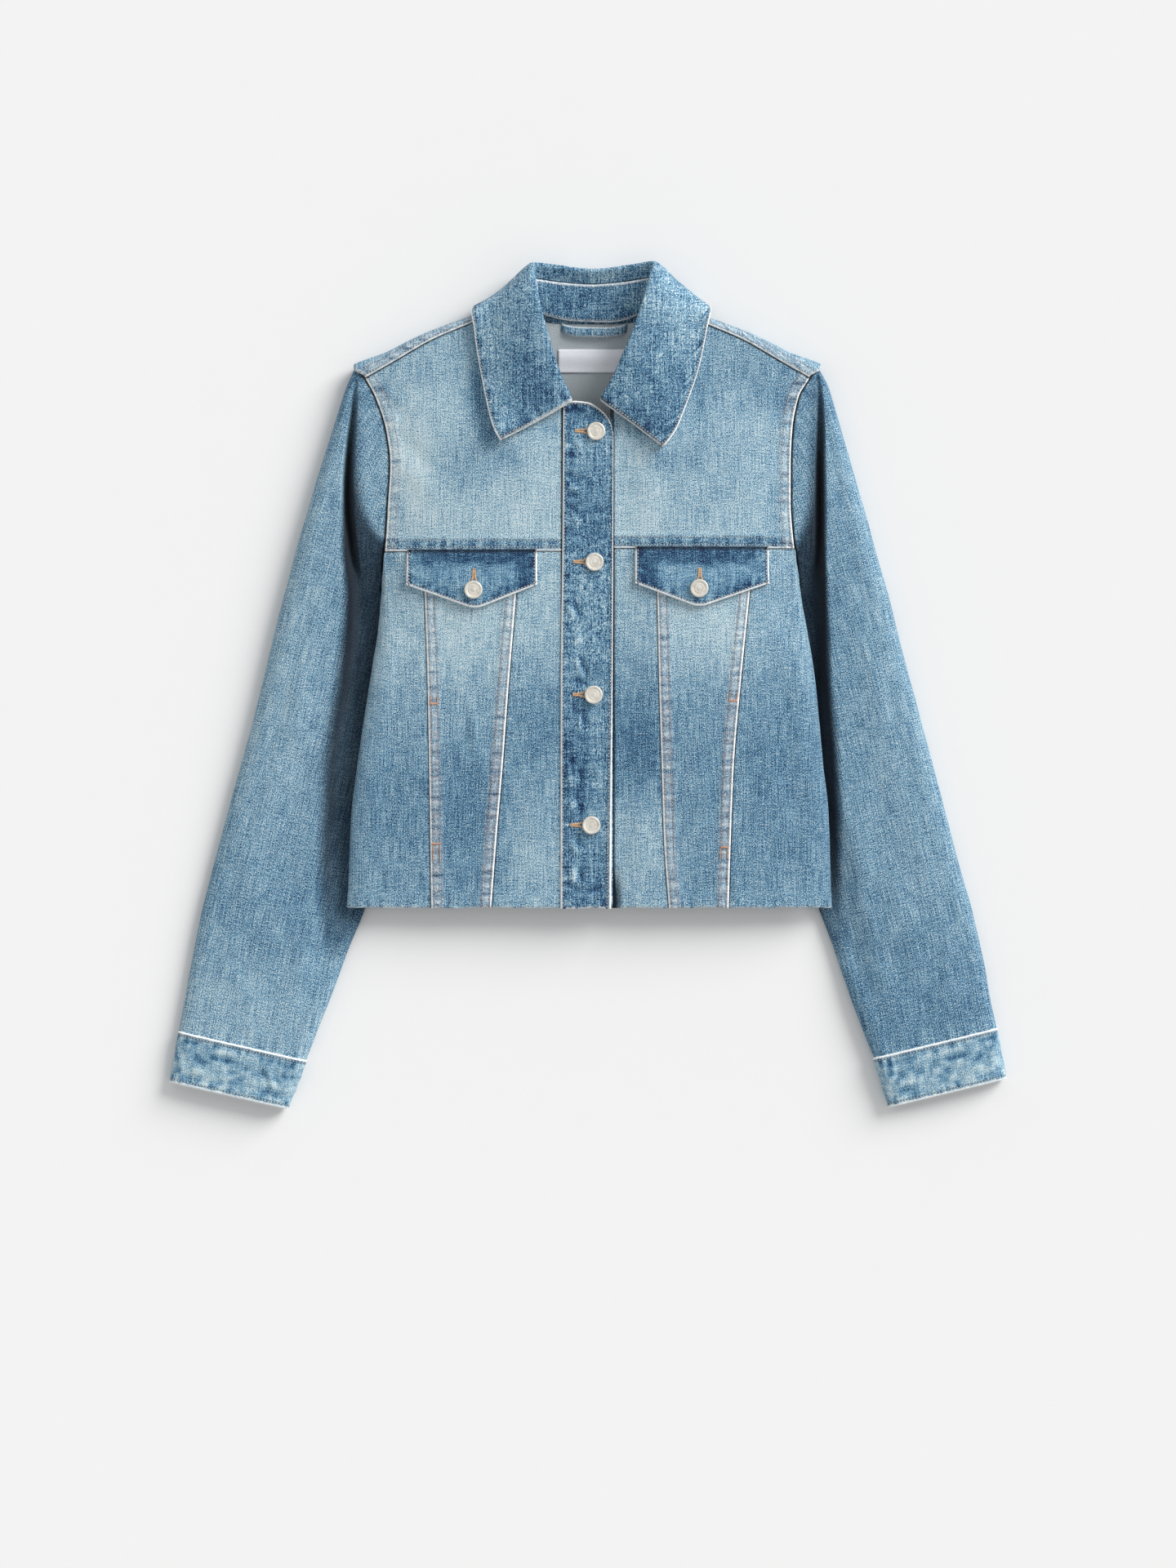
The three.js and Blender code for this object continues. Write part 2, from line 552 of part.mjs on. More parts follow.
function backBound(sign, y) {
  const turned = Math.max(riseAt('tuck', y) - SEAM_TURN, 0);
  const sideSeam = SIDE_SEAM.gap * ease((SIDE_SEAM.fromY - y) / SIDE_SEAM.runY);
  return sign * (edgeAt(sign, y) - BACK_GAP - turned - sideSeam);
}

const backRows = [...steps(BACK_HEM_Y, 50, 7), 72, 84, 97, 110, 128, BACK_YOKE_SEAM_Y - SEAM_GAP / 2];
const backColumns = [0, 0.05, 0.1, 0.15, 0.22, 0.36, 0.5, 0.64, 0.78, 0.85, 0.9, 0.95, 1];
const backGrid = backRows.map((y) => backColumns.map((u) => {
  const x = mix(backBound(-1, y), backBound(1, y), u);
  return new THREE.Vector3(x, y, floorAt(x, y));
}));
add('back_panel', cloth(backGrid, DENIM_WALL), denim);

// Back yoke, which comes forward over the shoulders to the front shoulder seams

const NECK_HALF = { left: 45, right: 50.5 };
const NECK_RISE = 8; // the neck seam climbs this much towards the shoulder seam
const NECK_CURL = 3.2; // and its corner lifts off the surface
const NECK_FLOOR_Y = 294;
const YOKE_INSET = 0.8; // the yoke's top corner lies this far inside the armhole line
const YOKE_WRAP = 4;
const YOKE_FLOOR_ROWS = [0.04, 0.09, 0.14, 0.19, 0.25, 0.42, 0.7, 1];

function backYokeColumn(u) {
  const topX = mix(-(edgeAt(-1, YOKE_TOP_Y) - YOKE_INSET), edgeAt(1, YOKE_TOP_Y) - YOKE_INSET, u);
  const sign = topX < 0 ? -1 : 1;
  const neckHalf = sign < 0 ? NECK_HALF.left : NECK_HALF.right;
  const column = [];
  const bottomX = mix(backBound(-1, BACK_YOKE_SEAM_Y), backBound(1, BACK_YOKE_SEAM_Y), u);
  const reach = Math.abs(topX);
  let floorY;
  if (reach >= neckHalf) {
    const seam = read(SHOULDER, 'x', 'seam', reach) + SHOULDER_GAP;
    const fold = read(SHOULDER, 'x', 'fold', reach);
    const top = front(topX, seam).z;
    const floor = floorAt(topX, fold - SHOULDER_TURN);
    const middle = mix(floor, top, 0.5);
    steps(0, Math.PI / 2, YOKE_WRAP).forEach((a) => {
      column.push([topX, seam + (fold - seam) * Math.sin(a), middle + (top - middle) * Math.cos(a)]);
    });
    steps(0, Math.PI / 2, YOKE_WRAP).slice(1).forEach((a) => {
      const y = fold - SHOULDER_TURN * (1 - Math.cos(a));
      column.push([topX, y, middle - (middle - floor) * Math.sin(a)]);
    });
    floorY = fold - SHOULDER_TURN;
  } else {
    const t = reach / neckHalf;
    const neckY = NECK_SEAM_Y + NECK_RISE * t ** 6;
    floorY = NECK_FLOOR_Y;
    steps(0, 1, 2 * YOKE_WRAP).forEach((s) => {
      const y = mix(neckY, floorY, s);
      column.push([topX, y, floorAt(topX, y) + NECK_CURL * t ** 6 * (1 - s)]);
    });
  }
  YOKE_FLOOR_ROWS.forEach((s) => {
    const y = mix(floorY, BACK_YOKE_SEAM_Y + SEAM_GAP / 2, s);
    const bound = sign < 0 ? -backBound(-1, y) : backBound(1, y);
    const straight = mix(topX, bottomX, s);
    const share = clamp(reach / (edgeAt(sign, YOKE_TOP_Y) - YOKE_INSET), 0, 1);
    const x = sign * Math.min(Math.abs(straight), bound * share ** 0.2);
    column.push([x, y, floorAt(x, y)]);
  });
  return column.map(([x, y, z]) => new THREE.Vector3(x, y, z));
}

const yokeColumns = [
  ...steps(0, 0.26, 6),
  0.32,
  0.362,
  0.385,
  ...steps(0.42, 0.58, 4),
  0.612,
  0.634,
  0.68,
  ...steps(0.74, 1, 6),
];
const yokeGrid = yokeColumns.map(backYokeColumn);
add('back_yoke', cloth(yokeGrid, DENIM_WALL), reverse);

// Fronts

const sides = [
  { side: 'right', sign: -1, inner: 'innerL', outer: 'outerL', neck: 'left', seamStep: 0 },
  { side: 'left', sign: 1, inner: 'innerR', outer: 'outerR', neck: 'right', seamStep: SEAM_STEP },
];
const YOKE_INNER_TOP_Y = 320;
const SIDE_COLUMNS = [0, 0.25, 0.45, 0.58, 0.66, 0.73, 0.79, 0.84, 0.88, 0.92, 0.96, 1];
const seamAt = (column, y) => read(FRONT_SEAMS, 'y', column, y);

// The neck edge of a front yoke, from the placket up to the shoulder, hidden by the collar.
const NECKLINE = [
  { y: 232, left: 21.3, right: 21.6 },
  { y: 240, left: 21.8, right: 21.8 },
  { y: 258, left: 28.5, right: 28 },
  { y: 281, left: 38, right: 38.4 },
  { y: 303, left: 45.5, right: 49.6 },
  { y: 321, left: 51.5, right: 56.5 },
];

function frontPanel(name, rows, columns, bounds, material) {
  const grid = rows.map((y) => {
    const [from, to] = bounds(y);
    return columns.map((u) => front(mix(from, to, u), y));
  });
  add(name, cloth(grid, grid[0][0].x < grid[0][1].x ? -DENIM_WALL : DENIM_WALL), material);
}

sides.forEach(({ side, sign, inner, outer, neck, seamStep }) => {
  const gap = SEAM_GAP / 2;
  const low = YOKE_SEAM_Y + seamStep + gap;
  // The yoke is drawn between its yoke seam and the slanting shoulder seam.
  const yoke = steps(0, 1, 9).map((v) => steps(0, 1, 10).map((u) => {
    const outerY = mix(low, YOKE_TOP_Y, v);
    const innerY = mix(low, YOKE_INNER_TOP_Y, v);
    const innerX = innerY < NECKLINE[0].y ? PLACKET_HALF + SEAM_GAP : read(NECKLINE, 'y', neck, innerY);
    const x = mix(edgeAt(sign, outerY), innerX, u);
    const topY = read(SHOULDER, 'x', 'seam', x);
    const straight = mix(outerY, innerY, u);
    const y = mix(straight, topY, ease(v * 1.6 - 0.6) * (u > 0 && u < 1 ? 1 : 0));
    return front(sign * x, Math.min(y, topY));
  }));
  add(`front_yoke_${side}`, cloth(yoke, sign * DENIM_WALL), denimPale);

  const rows = [...steps(HEM_Y, 30, 7), 50, 70, 84, 97, low - SEAM_GAP];
  frontPanel(`front_side_${side}`, rows, SIDE_COLUMNS,
    (y) => [seamAt(outer, y) + sign * gap, sign * reachAt(sign, y)], denimDeep);
  frontPanel(`front_middle_${side}`, rows, steps(0, 1, 5),
    (y) => [seamAt(inner, y) + sign * gap, seamAt(outer, y) - sign * gap], denim);
  frontPanel(`front_centre_${side}`, rows, steps(0, 1, 4),
    (y) => [sign * (PLACKET_HALF + SEAM_GAP), seamAt(inner, y) - sign * gap], denimPale);
});

// Placket: the top strip closes over the strip of the other front

const PLACKET_TOP = [
  { x: -21, y: 232 },
  { x: -17, y: 235.4 },
  { x: -12, y: 236.6 },
  { x: 0, y: 235.4 },
  { x: 11.9, y: 228.5 },
  { x: 18.7, y: 219.3 },
  { x: 21, y: 209 },
];
const UNDER_STRIP = { columns: [-16, -4, 8, 16, 20.9], topLeft: 233, topRight: 222, short: 0.8 };
const PLACKET_HANG = 0.6; // the top strip ends this much below the fronts
const PLACKET_ROWS = 18;
const frontBase = (x, y) => front(-Math.abs(x), y).z;

function placketGrid(columns, bottomY, topAt, drop) {
  return steps(0, 1, PLACKET_ROWS).map((v) => columns.map((x) => {
    const y = mix(bottomY, topAt(x), v);
    return new THREE.Vector3(x, y, frontBase(x, y) + drop);
  }));
}

const stripTop = (x) => read(PLACKET_TOP, 'x', 'y', x);
const stripColumns = PLACKET_TOP.map((row) => row.x);
const topStrip = placketGrid(stripColumns, HEM_Y - PLACKET_HANG, stripTop, PLACKET_PROUD);
add('placket_right', cloth(topStrip, -PLACKET_WALL), denimPale);

const underDrop = PLACKET_PROUD - PLACKET_WALL - 2 * SEAM_GAP;
const underTop = (x) => {
  const { columns, topLeft, topRight } = UNDER_STRIP;
  return mix(topLeft, topRight, (x - columns[0]) / (columns[4] - columns[0]));
};
const underStrip = placketGrid(UNDER_STRIP.columns, HEM_Y + UNDER_STRIP.short, underTop, underDrop);
add('placket_left', cloth(underStrip, -DENIM_WALL), denim);

// Pocket flaps

Object.entries(FLAPS).forEach(([side, flap]) => {
  const columns = [...steps(flap.low, flap.point[0], 4), ...steps(flap.point[0], flap.high, 4).slice(1)];
  const bottomAt = (x) => {
    const corner = x < flap.point[0] ? flap.low : flap.high;
    const t = (x - flap.point[0]) / (corner - flap.point[0]);
    return mix(flap.point[1], flap.sideY, t);
  };
  const grid = steps(0, 1, 3).map((v) => columns.map((x) => {
    const y = mix(bottomAt(x), FLAP_TOP_Y + flap.topStep, v);
    const point = front(x, y);
    point.z += FLAP_PROUD;
    return point;
  }));
  add(`pocket_flap_${side}`, cloth(grid, -FLAP_WALL), denimDeep);
});

// Sleeves: an upper wall over the top and round both edges, and a flat wall under it

const SLEEVE_ROWS = [
  0.6, 8, 17, 29, 42, 60, 79, 98, 119, 140, 152, 162, 169, 176, 187, 200, 225, 256, 290, 330, 370, 400, 430,
  450, 470, 510, 545, SLEEVE_SEAM_AT_CUFF,
];
const UNDER_ROWS = [
  6, 17, 42, 70, 98, 119, 140, 155, 169, 176, 187, 200, 225, 256, 290, 330, 370, 430, 470, 510, 545,
  SLEEVE_SEAM_AT_CUFF,
];
const UNDER_GAP = 3 * SEAM_GAP; // the flat wall stays clear of the turned edges of the upper one

Object.entries(SLEEVES).forEach(([side, arm]) => {
  const topGrid = SLEEVE_ROWS.map((down) => sleeveSection(arm, down).points
    .map(([across, height]) => sleevePoint(arm, down, across, height)));
  add(`sleeve_top_${side}`, cloth(topGrid, -arm.sign * DENIM_WALL), denim);

  const underGrid = UNDER_ROWS.map((down) => {
    const section = sleeveSection(arm, down);
    return steps(section.outer + UNDER_GAP, section.inner - UNDER_GAP, 3)
      .map((across) => sleevePoint(arm, down, across, 0));
  });
  add(`sleeve_under_${side}`, cloth(underGrid, arm.sign * DENIM_WALL), denim);

  add(`cuff_${side}`, cuffGeometry(arm), denimDeep);
});

// A cuff is one closed band: the sleeve's section carried on, with an open mouth.
function cuffGeometry(arm) {
  const from = SLEEVE_SEAM_AT_CUFF + SEAM_GAP;
  const rings = steps(from, from + CUFF_LENGTH, 3).map((down) => {
    const section = sleeveSection(arm, down, CUFF_PROUD).points;
    const outerLoop = section.slice(0, -1);
    const inset = outerLoop.map(([across, height], i) => {
      const before = outerLoop[(i + outerLoop.length - 1) % outerLoop.length];
      const after = outerLoop[(i + 1) % outerLoop.length];
      const run = new THREE.Vector2(after[0] - before[0], after[1] - before[1]).normalize();
      const raised = clamp(height - run.x * DOUBLE_WALL, DOUBLE_WALL, height + DOUBLE_WALL);
      return [across + run.y * DOUBLE_WALL, raised];
    });
    return { down, outerLoop, inset };
  });
  const count = rings[0].outerLoop.length;
  const positions = [];
  rings.forEach(({ down, outerLoop, inset }) => {
    [...outerLoop, ...inset].forEach(([across, height]) => {
      positions.push(...sleevePoint(arm, down, across, height));
    });
  });
  const outerAt = (r, i) => r * 2 * count + (i % count);
  const innerAt = (r, i) => outerAt(r, i) + count;
  const index = [];
  const quad = (p, q, r, s) => index.push(p, q, r, p, r, s);
  for (let i = 0; i < count; i += 1) {
    for (let r = 0; r < rings.length - 1; r += 1) {
      quad(outerAt(r, i), outerAt(r, i + 1), outerAt(r + 1, i + 1), outerAt(r + 1, i));
      quad(innerAt(r, i), innerAt(r + 1, i), innerAt(r + 1, i + 1), innerAt(r, i + 1));
    }
    const end = rings.length - 1;
    quad(outerAt(0, i), innerAt(0, i), innerAt(0, i + 1), outerAt(0, i + 1));
    quad(outerAt(end, i), outerAt(end, i + 1), innerAt(end, i + 1), innerAt(end, i));
  }
  return faceOut(positions, index);
}

// Collar: a standing band round the neck and a leaf that folds over it

const STAND_CLEAR = 1.9; // lower edge of the stand above the front it is sewn to
const STAND_SHARE = 0.96; // the stand ends just short of the leaf's seam
const LEAF_START = 0.12; // and the leaf starts just past it
const COLLAR_STEPS = 40;

function collarPoint([x, y, z], clear) {
  return new THREE.Vector3(x, y, z === 'lie' ? front(x, y).z + clear : z);
}

// Points along the collar on a smooth curve through the same point of each row of the table.
function collarCurve(column, clear) {
  const points = COLLAR.map((row) => collarPoint(row[column], clear));
  const curve = new THREE.CatmullRomCurve3(points, false, 'centripetal');
  return steps(0, 1, COLLAR_STEPS).map((t) => curve.getPoint(t));
}

const neckCurve = collarCurve('neck', STAND_CLEAR);
const seamCurve = collarCurve('seam', 0);
const rollCurve = collarCurve('roll', 0);
const browCurve = collarCurve('brow', 0);
const edgeCurve = collarCurve('edge', LEAF_CLEAR);

const standGrid = neckCurve.map((neck, i) => steps(0, STAND_SHARE, 3)
  .map((t) => neck.clone().lerp(seamCurve[i], t)));
add('collar_stand', cloth(standGrid, STAND_WALL), reverse);

const leafGrid = seamCurve.map((seam, i) => {
  const start = seam.clone().lerp(rollCurve[i], LEAF_START);
  const bends = [start, rollCurve[i], browCurve[i], edgeCurve[i]];
  const section = new THREE.CatmullRomCurve3(bends, false, 'centripetal');
  return section.getPoints(9).map((p) => p.setZ(Math.max(p.z, 0)));
});
add('collar_leaf', cloth(leafGrid, LEAF_WALL), denimDeep);

// Hanger loop at the back of the neck and a blank cloth label below it

const LOOP = [
  [-22, 303, 4.4], [-19, 297.5, 7], [-10, 293.4, 8.6], [4, 292.6, 9.2], [20, 293.2, 8.6], [29.5, 297, 7],
  [33, 303, 4.4],
];
const LOOP_WIDTH = 6.5;
const LOOP_WALL = 1.0;
const loopCurve = new THREE.CatmullRomCurve3(LOOP.map((point) => new THREE.Vector3(...point)));
const loopGrid = loopCurve.getPoints(14).map((p) => [p, new THREE.Vector3(p.x, p.y - LOOP_WIDTH, p.z)]);
add('hanger_loop', cloth(loopGrid, LOOP_WALL), denim);

const LABEL = { x: [-24.6, 34.5], y: [261.3, 280.8], clear: 0.7, thickness: 0.6 };
const labelGrid = steps(LABEL.y[0], LABEL.y[1], 3).map((y) => steps(LABEL.x[0], LABEL.x[1], 4)
  .map((x) => new THREE.Vector3(x, y, floorAt(x, y) + DENIM_WALL + LABEL.clear)));
add('neck_label', cloth(labelGrid, LABEL.thickness), tapeWhite);

// Buttons: a domed cap with a raised rim, turned on its own axis

const BUTTON_SEGMENTS = 20;
const BUTTON_PROFILE = [
  { radius: 0, height: 0 },
  { radius: 0.8 * BUTTON_RADIUS, height: 0 },
  { radius: BUTTON_RADIUS, height: 0.9 },
  { radius: BUTTON_RADIUS, height: 1.9 },
  { radius: 0.86 * BUTTON_RADIUS, height: BUTTON_HEIGHT },
  { radius: 0.7 * BUTTON_RADIUS, height: BUTTON_HEIGHT - 0.6 },
  { radius: 0.3 * BUTTON_RADIUS, height: BUTTON_HEIGHT - 0.5 },
  { radius: 0, height: BUTTON_HEIGHT - 0.3 },
];

function addButton(name, x, y, height) {
  const profile = BUTTON_PROFILE.map((row) => new THREE.Vector2(row.radius, row.height));
  const geometry = new THREE.LatheGeometry(profile, BUTTON_SEGMENTS);
  geometry.rotateX(Math.PI / 2);
  const mesh = add(name, geometry, silver);
  mesh.position.set(x, y, height);
}

BUTTONS.forEach(({ name, x, y }) => {
  addButton(name, x, y, frontBase(x, y) + PLACKET_PROUD + PLACKET_BUTTON_CLEAR);
});
Object.entries(FLAPS).forEach(([side, { button: [x, y] }]) => {
  addButton(`flap_button_${side}`, x, y, front(x, y).z + FLAP_PROUD + FLAP_BUTTON_CLEAR);
});

export default jacket;
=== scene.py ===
import math
from types import SimpleNamespace

import bpy
import numpy as np
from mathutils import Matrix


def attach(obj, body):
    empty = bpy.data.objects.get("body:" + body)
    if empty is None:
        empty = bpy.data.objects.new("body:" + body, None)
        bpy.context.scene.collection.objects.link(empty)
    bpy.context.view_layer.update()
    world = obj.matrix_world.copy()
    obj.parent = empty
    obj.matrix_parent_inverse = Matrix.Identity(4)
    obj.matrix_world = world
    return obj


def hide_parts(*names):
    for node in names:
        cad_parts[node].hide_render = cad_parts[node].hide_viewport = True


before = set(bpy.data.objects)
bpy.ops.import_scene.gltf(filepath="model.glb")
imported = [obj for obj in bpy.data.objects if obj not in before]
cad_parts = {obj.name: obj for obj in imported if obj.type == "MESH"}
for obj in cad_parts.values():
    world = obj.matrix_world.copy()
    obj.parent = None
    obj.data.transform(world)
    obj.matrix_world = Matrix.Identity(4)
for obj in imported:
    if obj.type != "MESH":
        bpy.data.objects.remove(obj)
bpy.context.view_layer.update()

# Table, light and camera
# The jacket lies closed on a wide pale table. One broad soft lamp stands up to the right, the room
# fills the shadows, and the camera looks straight down from five metres.

CAMERA_HEIGHT = 5.0
MIDDLE_OF_CLOTH = 0.02  # height at which the picture's scale is set
PICTURE_TALL = 1.3056  # metres of table from the top to the bottom of the picture
PICTURE_CENTRE = (0.00034, -0.0823)
FILM = 36.0
LAMP_FROM = (0.72, 0.62, 0.46)

camera_data = bpy.data.cameras.new("camera")
camera_data.sensor_width = FILM
camera_data.lens = FILM * (CAMERA_HEIGHT - MIDDLE_OF_CLOTH) / PICTURE_TALL
camera = bpy.data.objects.new("camera", camera_data)
camera.location = (*PICTURE_CENTRE, CAMERA_HEIGHT)
bpy.context.scene.collection.objects.link(camera)
bpy.context.scene.camera = camera

lamp_data = bpy.data.lights.new("window_lamp", "SUN")
lamp_data.energy = 3.4
lamp_data.angle = math.radians(34)
lamp_data.color = (1.0, 0.992, 0.98)
lamp = bpy.data.objects.new("window_lamp", lamp_data)
reach = math.sqrt(sum(v * v for v in LAMP_FROM))
lamp.rotation_euler = (
    math.acos(LAMP_FROM[2] / reach),
    0,
    math.atan2(LAMP_FROM[1], LAMP_FROM[0]) + math.pi / 2,
)
bpy.context.scene.collection.objects.link(lamp)

room = bpy.data.worlds.new("room")
room.use_nodes = True
room.node_tree.nodes["Background"].inputs["Color"].default_value = (0.985, 0.995, 1.0, 1)
room.node_tree.nodes["Background"].inputs["Strength"].default_value = 0.59
bpy.context.scene.world = room
bpy.context.scene.view_settings.view_transform = "Standard"


def srgb(red, green, blue):
    """A colour given as 0 to 255 on the screen, as the linear colour that a material takes."""
    values = [v / 255 for v in (red, green, blue)]
    return (*[v / 12.92 if v <= 0.04045 else ((v + 0.055) / 1.055) ** 2.4 for v in values], 1)


class Nodes:
    """A material with its nodes: each call adds one node and joins or sets its inputs."""

    def __init__(self, name):
        self.material = bpy.data.materials.new(name)
        self.material.use_nodes = True
        self.tree = self.material.node_tree
        self.surface = self.tree.nodes["Principled BSDF"]

    def set(self, node, inputs):
        for key, value in inputs.items():
            socket = node.inputs[key]
            if isinstance(value, bpy.types.NodeSocket):
                self.tree.links.new(value, socket)
            else:
                socket.default_value = value
        return node

    def add(self, kind, inputs, out=0, **settings):
        node = self.tree.nodes.new("ShaderNode" + kind)
        for key, value in settings.items():
            setattr(node, key, value)
        return self.set(node, inputs).outputs[out]

    def maths(self, operation, a, b):
        return self.add("Math", {0: a, 1: b}, operation=operation)

    def noise(self, place, scale, detail=2.0, stretch=(1, 1, 1)):
        placed = self.add("Mapping", {"Vector": place, "Scale": stretch})
        return self.add("TexNoise", {"Vector": placed, "Scale": scale, "Detail": detail}, out=0)

    def ramp(self, factor, stops):
        socket = self.add("ValToRGB", {"Fac": factor})
        band = socket.node.color_ramp
        while len(band.elements) < len(stops):
            band.elements.new(0.5)
        for element, (place, colour) in zip(band.elements, stops):
            element.position = place
            element.color = colour
        return socket


table_finish = Nodes("pale_table")
TABLE_GREY = (0.851, 0.851, 0.851, 1)
table_place = table_finish.add("TexCoord", {}, out=3)
table_grain = table_finish.noise(table_place, 40.0)
table_colour = table_finish.ramp(table_grain, [(0.3, (0.848, 0.848, 0.848, 1)), (0.7, TABLE_GREY)])
table_finish.set(table_finish.surface, {"Base Color": table_colour, "Roughness": 0.9,
                                        "Specular IOR Level": 0.0})

TABLE_HALF = 4.0
table_mesh = bpy.data.meshes.new("table_top")
table_mesh.from_pydata(
    [(-TABLE_HALF, -TABLE_HALF, 0), (TABLE_HALF, -TABLE_HALF, 0),
     (TABLE_HALF, TABLE_HALF, 0), (-TABLE_HALF, TABLE_HALF, 0)], [], [(0, 1, 2, 3)])
table_mesh.materials.append(table_finish.material)
table_top = bpy.data.objects.new("table_top", table_mesh)
table_top.location.z = -0.0003
bpy.context.scene.collection.objects.link(table_top)

# Back panel
# The back is one piece of heavy blue denim that lies flat on the table. It rises at each side
# over the sleeve that is tucked under it, and is sewn to the side seams and to the back yoke.

MM = 0.001
DENIM_WALL = 1.2


def ease(t):
    t = np.clip(t, 0, 1)
    return t * t * (3 - 2 * t)


def mix(a, b, t):
    return a + (b - a) * t


def hill(distance, width):
    """A smooth bump: 1 at no distance and almost nothing at two widths."""
    return np.exp(-(distance / width) ** 2)


def table(columns, rows):
    """Reads named columns at any place down a table, along a smooth curve through its rows."""
    values = np.array(rows, float)
    place, run = values[:, 0], np.diff(values[:, 0])

    def reader(column):
        rate = np.diff(column) / run
        slope = np.concatenate([rate[:1], np.zeros(len(rate) - 1), rate[-1:]])
        both = rate[:-1] * rate[1:]
        inner = both > 0
        slope[1:-1][inner] = 2 * both[inner] / (rate[:-1] + rate[1:])[inner]

        def read(at):
            at = np.clip(at, place[0], place[-1])
            i = np.clip(np.searchsorted(place, at, side="right") - 1, 0, len(run) - 1)
            t = (at - place[i]) / run[i]
            bend = slope[i] * t * (1 - t) ** 2 - slope[i + 1] * t * t * (1 - t)
            return column[i] + (column[i + 1] - column[i]) * t * t * (3 - 2 * t) + run[i] * bend

        return read

    names = columns.split()[1:]
    return SimpleNamespace(**{name: reader(values[:, k + 1]) for k, name in enumerate(names)})


# The body's outline: armhole seams above y 84, side folds below, and its height off the table
OUTLINE = table("y left right", [
    (-186, 200.4, 203.2), (-107, 196.9, 200.9), (-67, 192.1, 196.5), (-31, 186.8, 193.2),
    (13, 179.9, 188.6), (58, 173.4, 180.8), (84, 171.7, 176.8), (100, 170.3, 174.6),
    (124, 168.3, 171.5), (154, 166.6, 169.6), (184, 164.9, 169.7), (212, 168.3, 171.0),
    (240, 177.4, 176.3), (256, 186.0, 185.5), (266, 191.5, 190.5)])
RISE = table("y crown brow roll edge low tuck", [
    (-186, 23, 20, 25, 14.5, 9, 18), (-120, 25, 22, 26, 15.5, 9, 19), (-60, 27, 24, 26, 16, 9, 19),
    (0, 28.5, 24, 24, 16, 9, 18), (30, 29, 22.5, 19, 15, 9, 14), (60, 29, 20.5, 13, 13.5, 9.2, 8),
    (84, 29, 19, 6, 12.5, 10.5, 2), (100, 29, 19, 3, 18, 17, 1.5), (130, 29, 19.5, 3, 19, 18, 1.5),
    (200, 27.5, 19, 3, 18.5, 17.5, 1.5), (256, 23, 17.5, 3, 17, 16, 1.5),
    (325, 21, 20, 3, 19.5, 18.5, 1.5)])
UNDER_FOLD = table("y left right", [
    (-186, 187, 192), (-167, 180, 185), (-123, 168, 174), (-80, 161, 167), (-40, 157, 163.5),
    (0, 156.5, 162), (30, 159.5, 165), (60, 166, 171), (84, 172, 176), (97, 176, 180),
    (112, 188, 192)])
BACK_HEM_Y = -183.6
BACK_YOKE_SEAM_Y = 150


def edge_at(side, y):
    return OUTLINE.left(y) if side < 0 else OUTLINE.right(y)


def one_side(columns, name, side):
    """The column of a table that belongs to the wearer's right, L, or left, R."""
    return getattr(columns, name + side.letter)


def floor_at(x, y):
    """Height of the back's lower face: flat, higher over the sleeves and under the collar."""
    fold = np.where(x < 0, UNDER_FOLD.left(y), UNDER_FOLD.right(y))
    over_sleeve = RISE.low(np.minimum(y, 60)) * ease((np.abs(x) - fold + 18) / 14)
    over_collar = 2.6 * ease((125 - np.abs(x)) / 18) * ease((y - 262) / 14)
    return np.where(y > 112, over_collar, over_sleeve)


def back_bound(side, y):
    turned = np.maximum(RISE.tuck(y) - 1.5, 0)
    return edge_at(side, y) - 0.5 - turned - 1.9 * ease((104 - y) / 20)


def lengths(grid, axis):
    """Distance over the cloth from the first row or column to each point."""
    total = np.cumsum(np.linalg.norm(np.diff(grid, axis=axis), axis=-1), axis=axis)
    return np.concatenate([np.zeros_like(total.take([0], axis)), total], axis)


def facing(grid):
    """The cloth's own upright direction at each point."""
    cross = np.cross(np.gradient(grid, axis=1), np.gradient(grid, axis=0))
    return cross / np.maximum(np.linalg.norm(cross, axis=-1, keepdims=True), 1e-9)


def lay_out(grid, face=1, grain=None):
    """Starts a piece from its grid: its normals, and every point's place against its four edges."""
    across, up = lengths(grid, 1), lengths(grid, 0)
    piece = SimpleNamespace(base=grid, normal=facing(grid) * face)
    piece.near = {"left": across, "right": across[:, -1:] - across,
                  "bottom": up, "top": up[-1:] - up}
    piece.along = {"left": up, "right": up, "bottom": across, "top": across}
    piece.grain = grid.copy() if grain is None else grain
    for field in ("lift", "sink", "fade", "wear", "ink", "seam"):
        setattr(piece, field, np.zeros(grid.shape[:2]))
    return piece


def turn_up(piece, row, column):
    """Makes a piece's normals point up at one of its points."""
    piece.normal *= 1 if piece.normal[row, column, 2] > 0 else -1


def graded(width, fine=(0, 0.4, 0.9, 1.5, 2.1, 2.6, 3.2, 4.2, 5.6, 7.0, 7.6, 8.2, 9.4, 11.2, 13.4),
           coarse=2.4):
    """Places across a width, close together beside both edges, as shares of it."""
    low = np.array([d for d in fine if d < width * 0.4])
    count = max(int(round((width - 2 * low[-1]) / coarse)), 2)
    middle = np.linspace(low[-1], width - low[-1], count + 1)
    return np.concatenate([low[:-1], middle, (width - low[:-1])[::-1]]) / width


def finished(piece):
    """The outer face of a piece, with all its relief."""
    return piece.base + piece.normal * (piece.lift + piece.sink)[..., None]


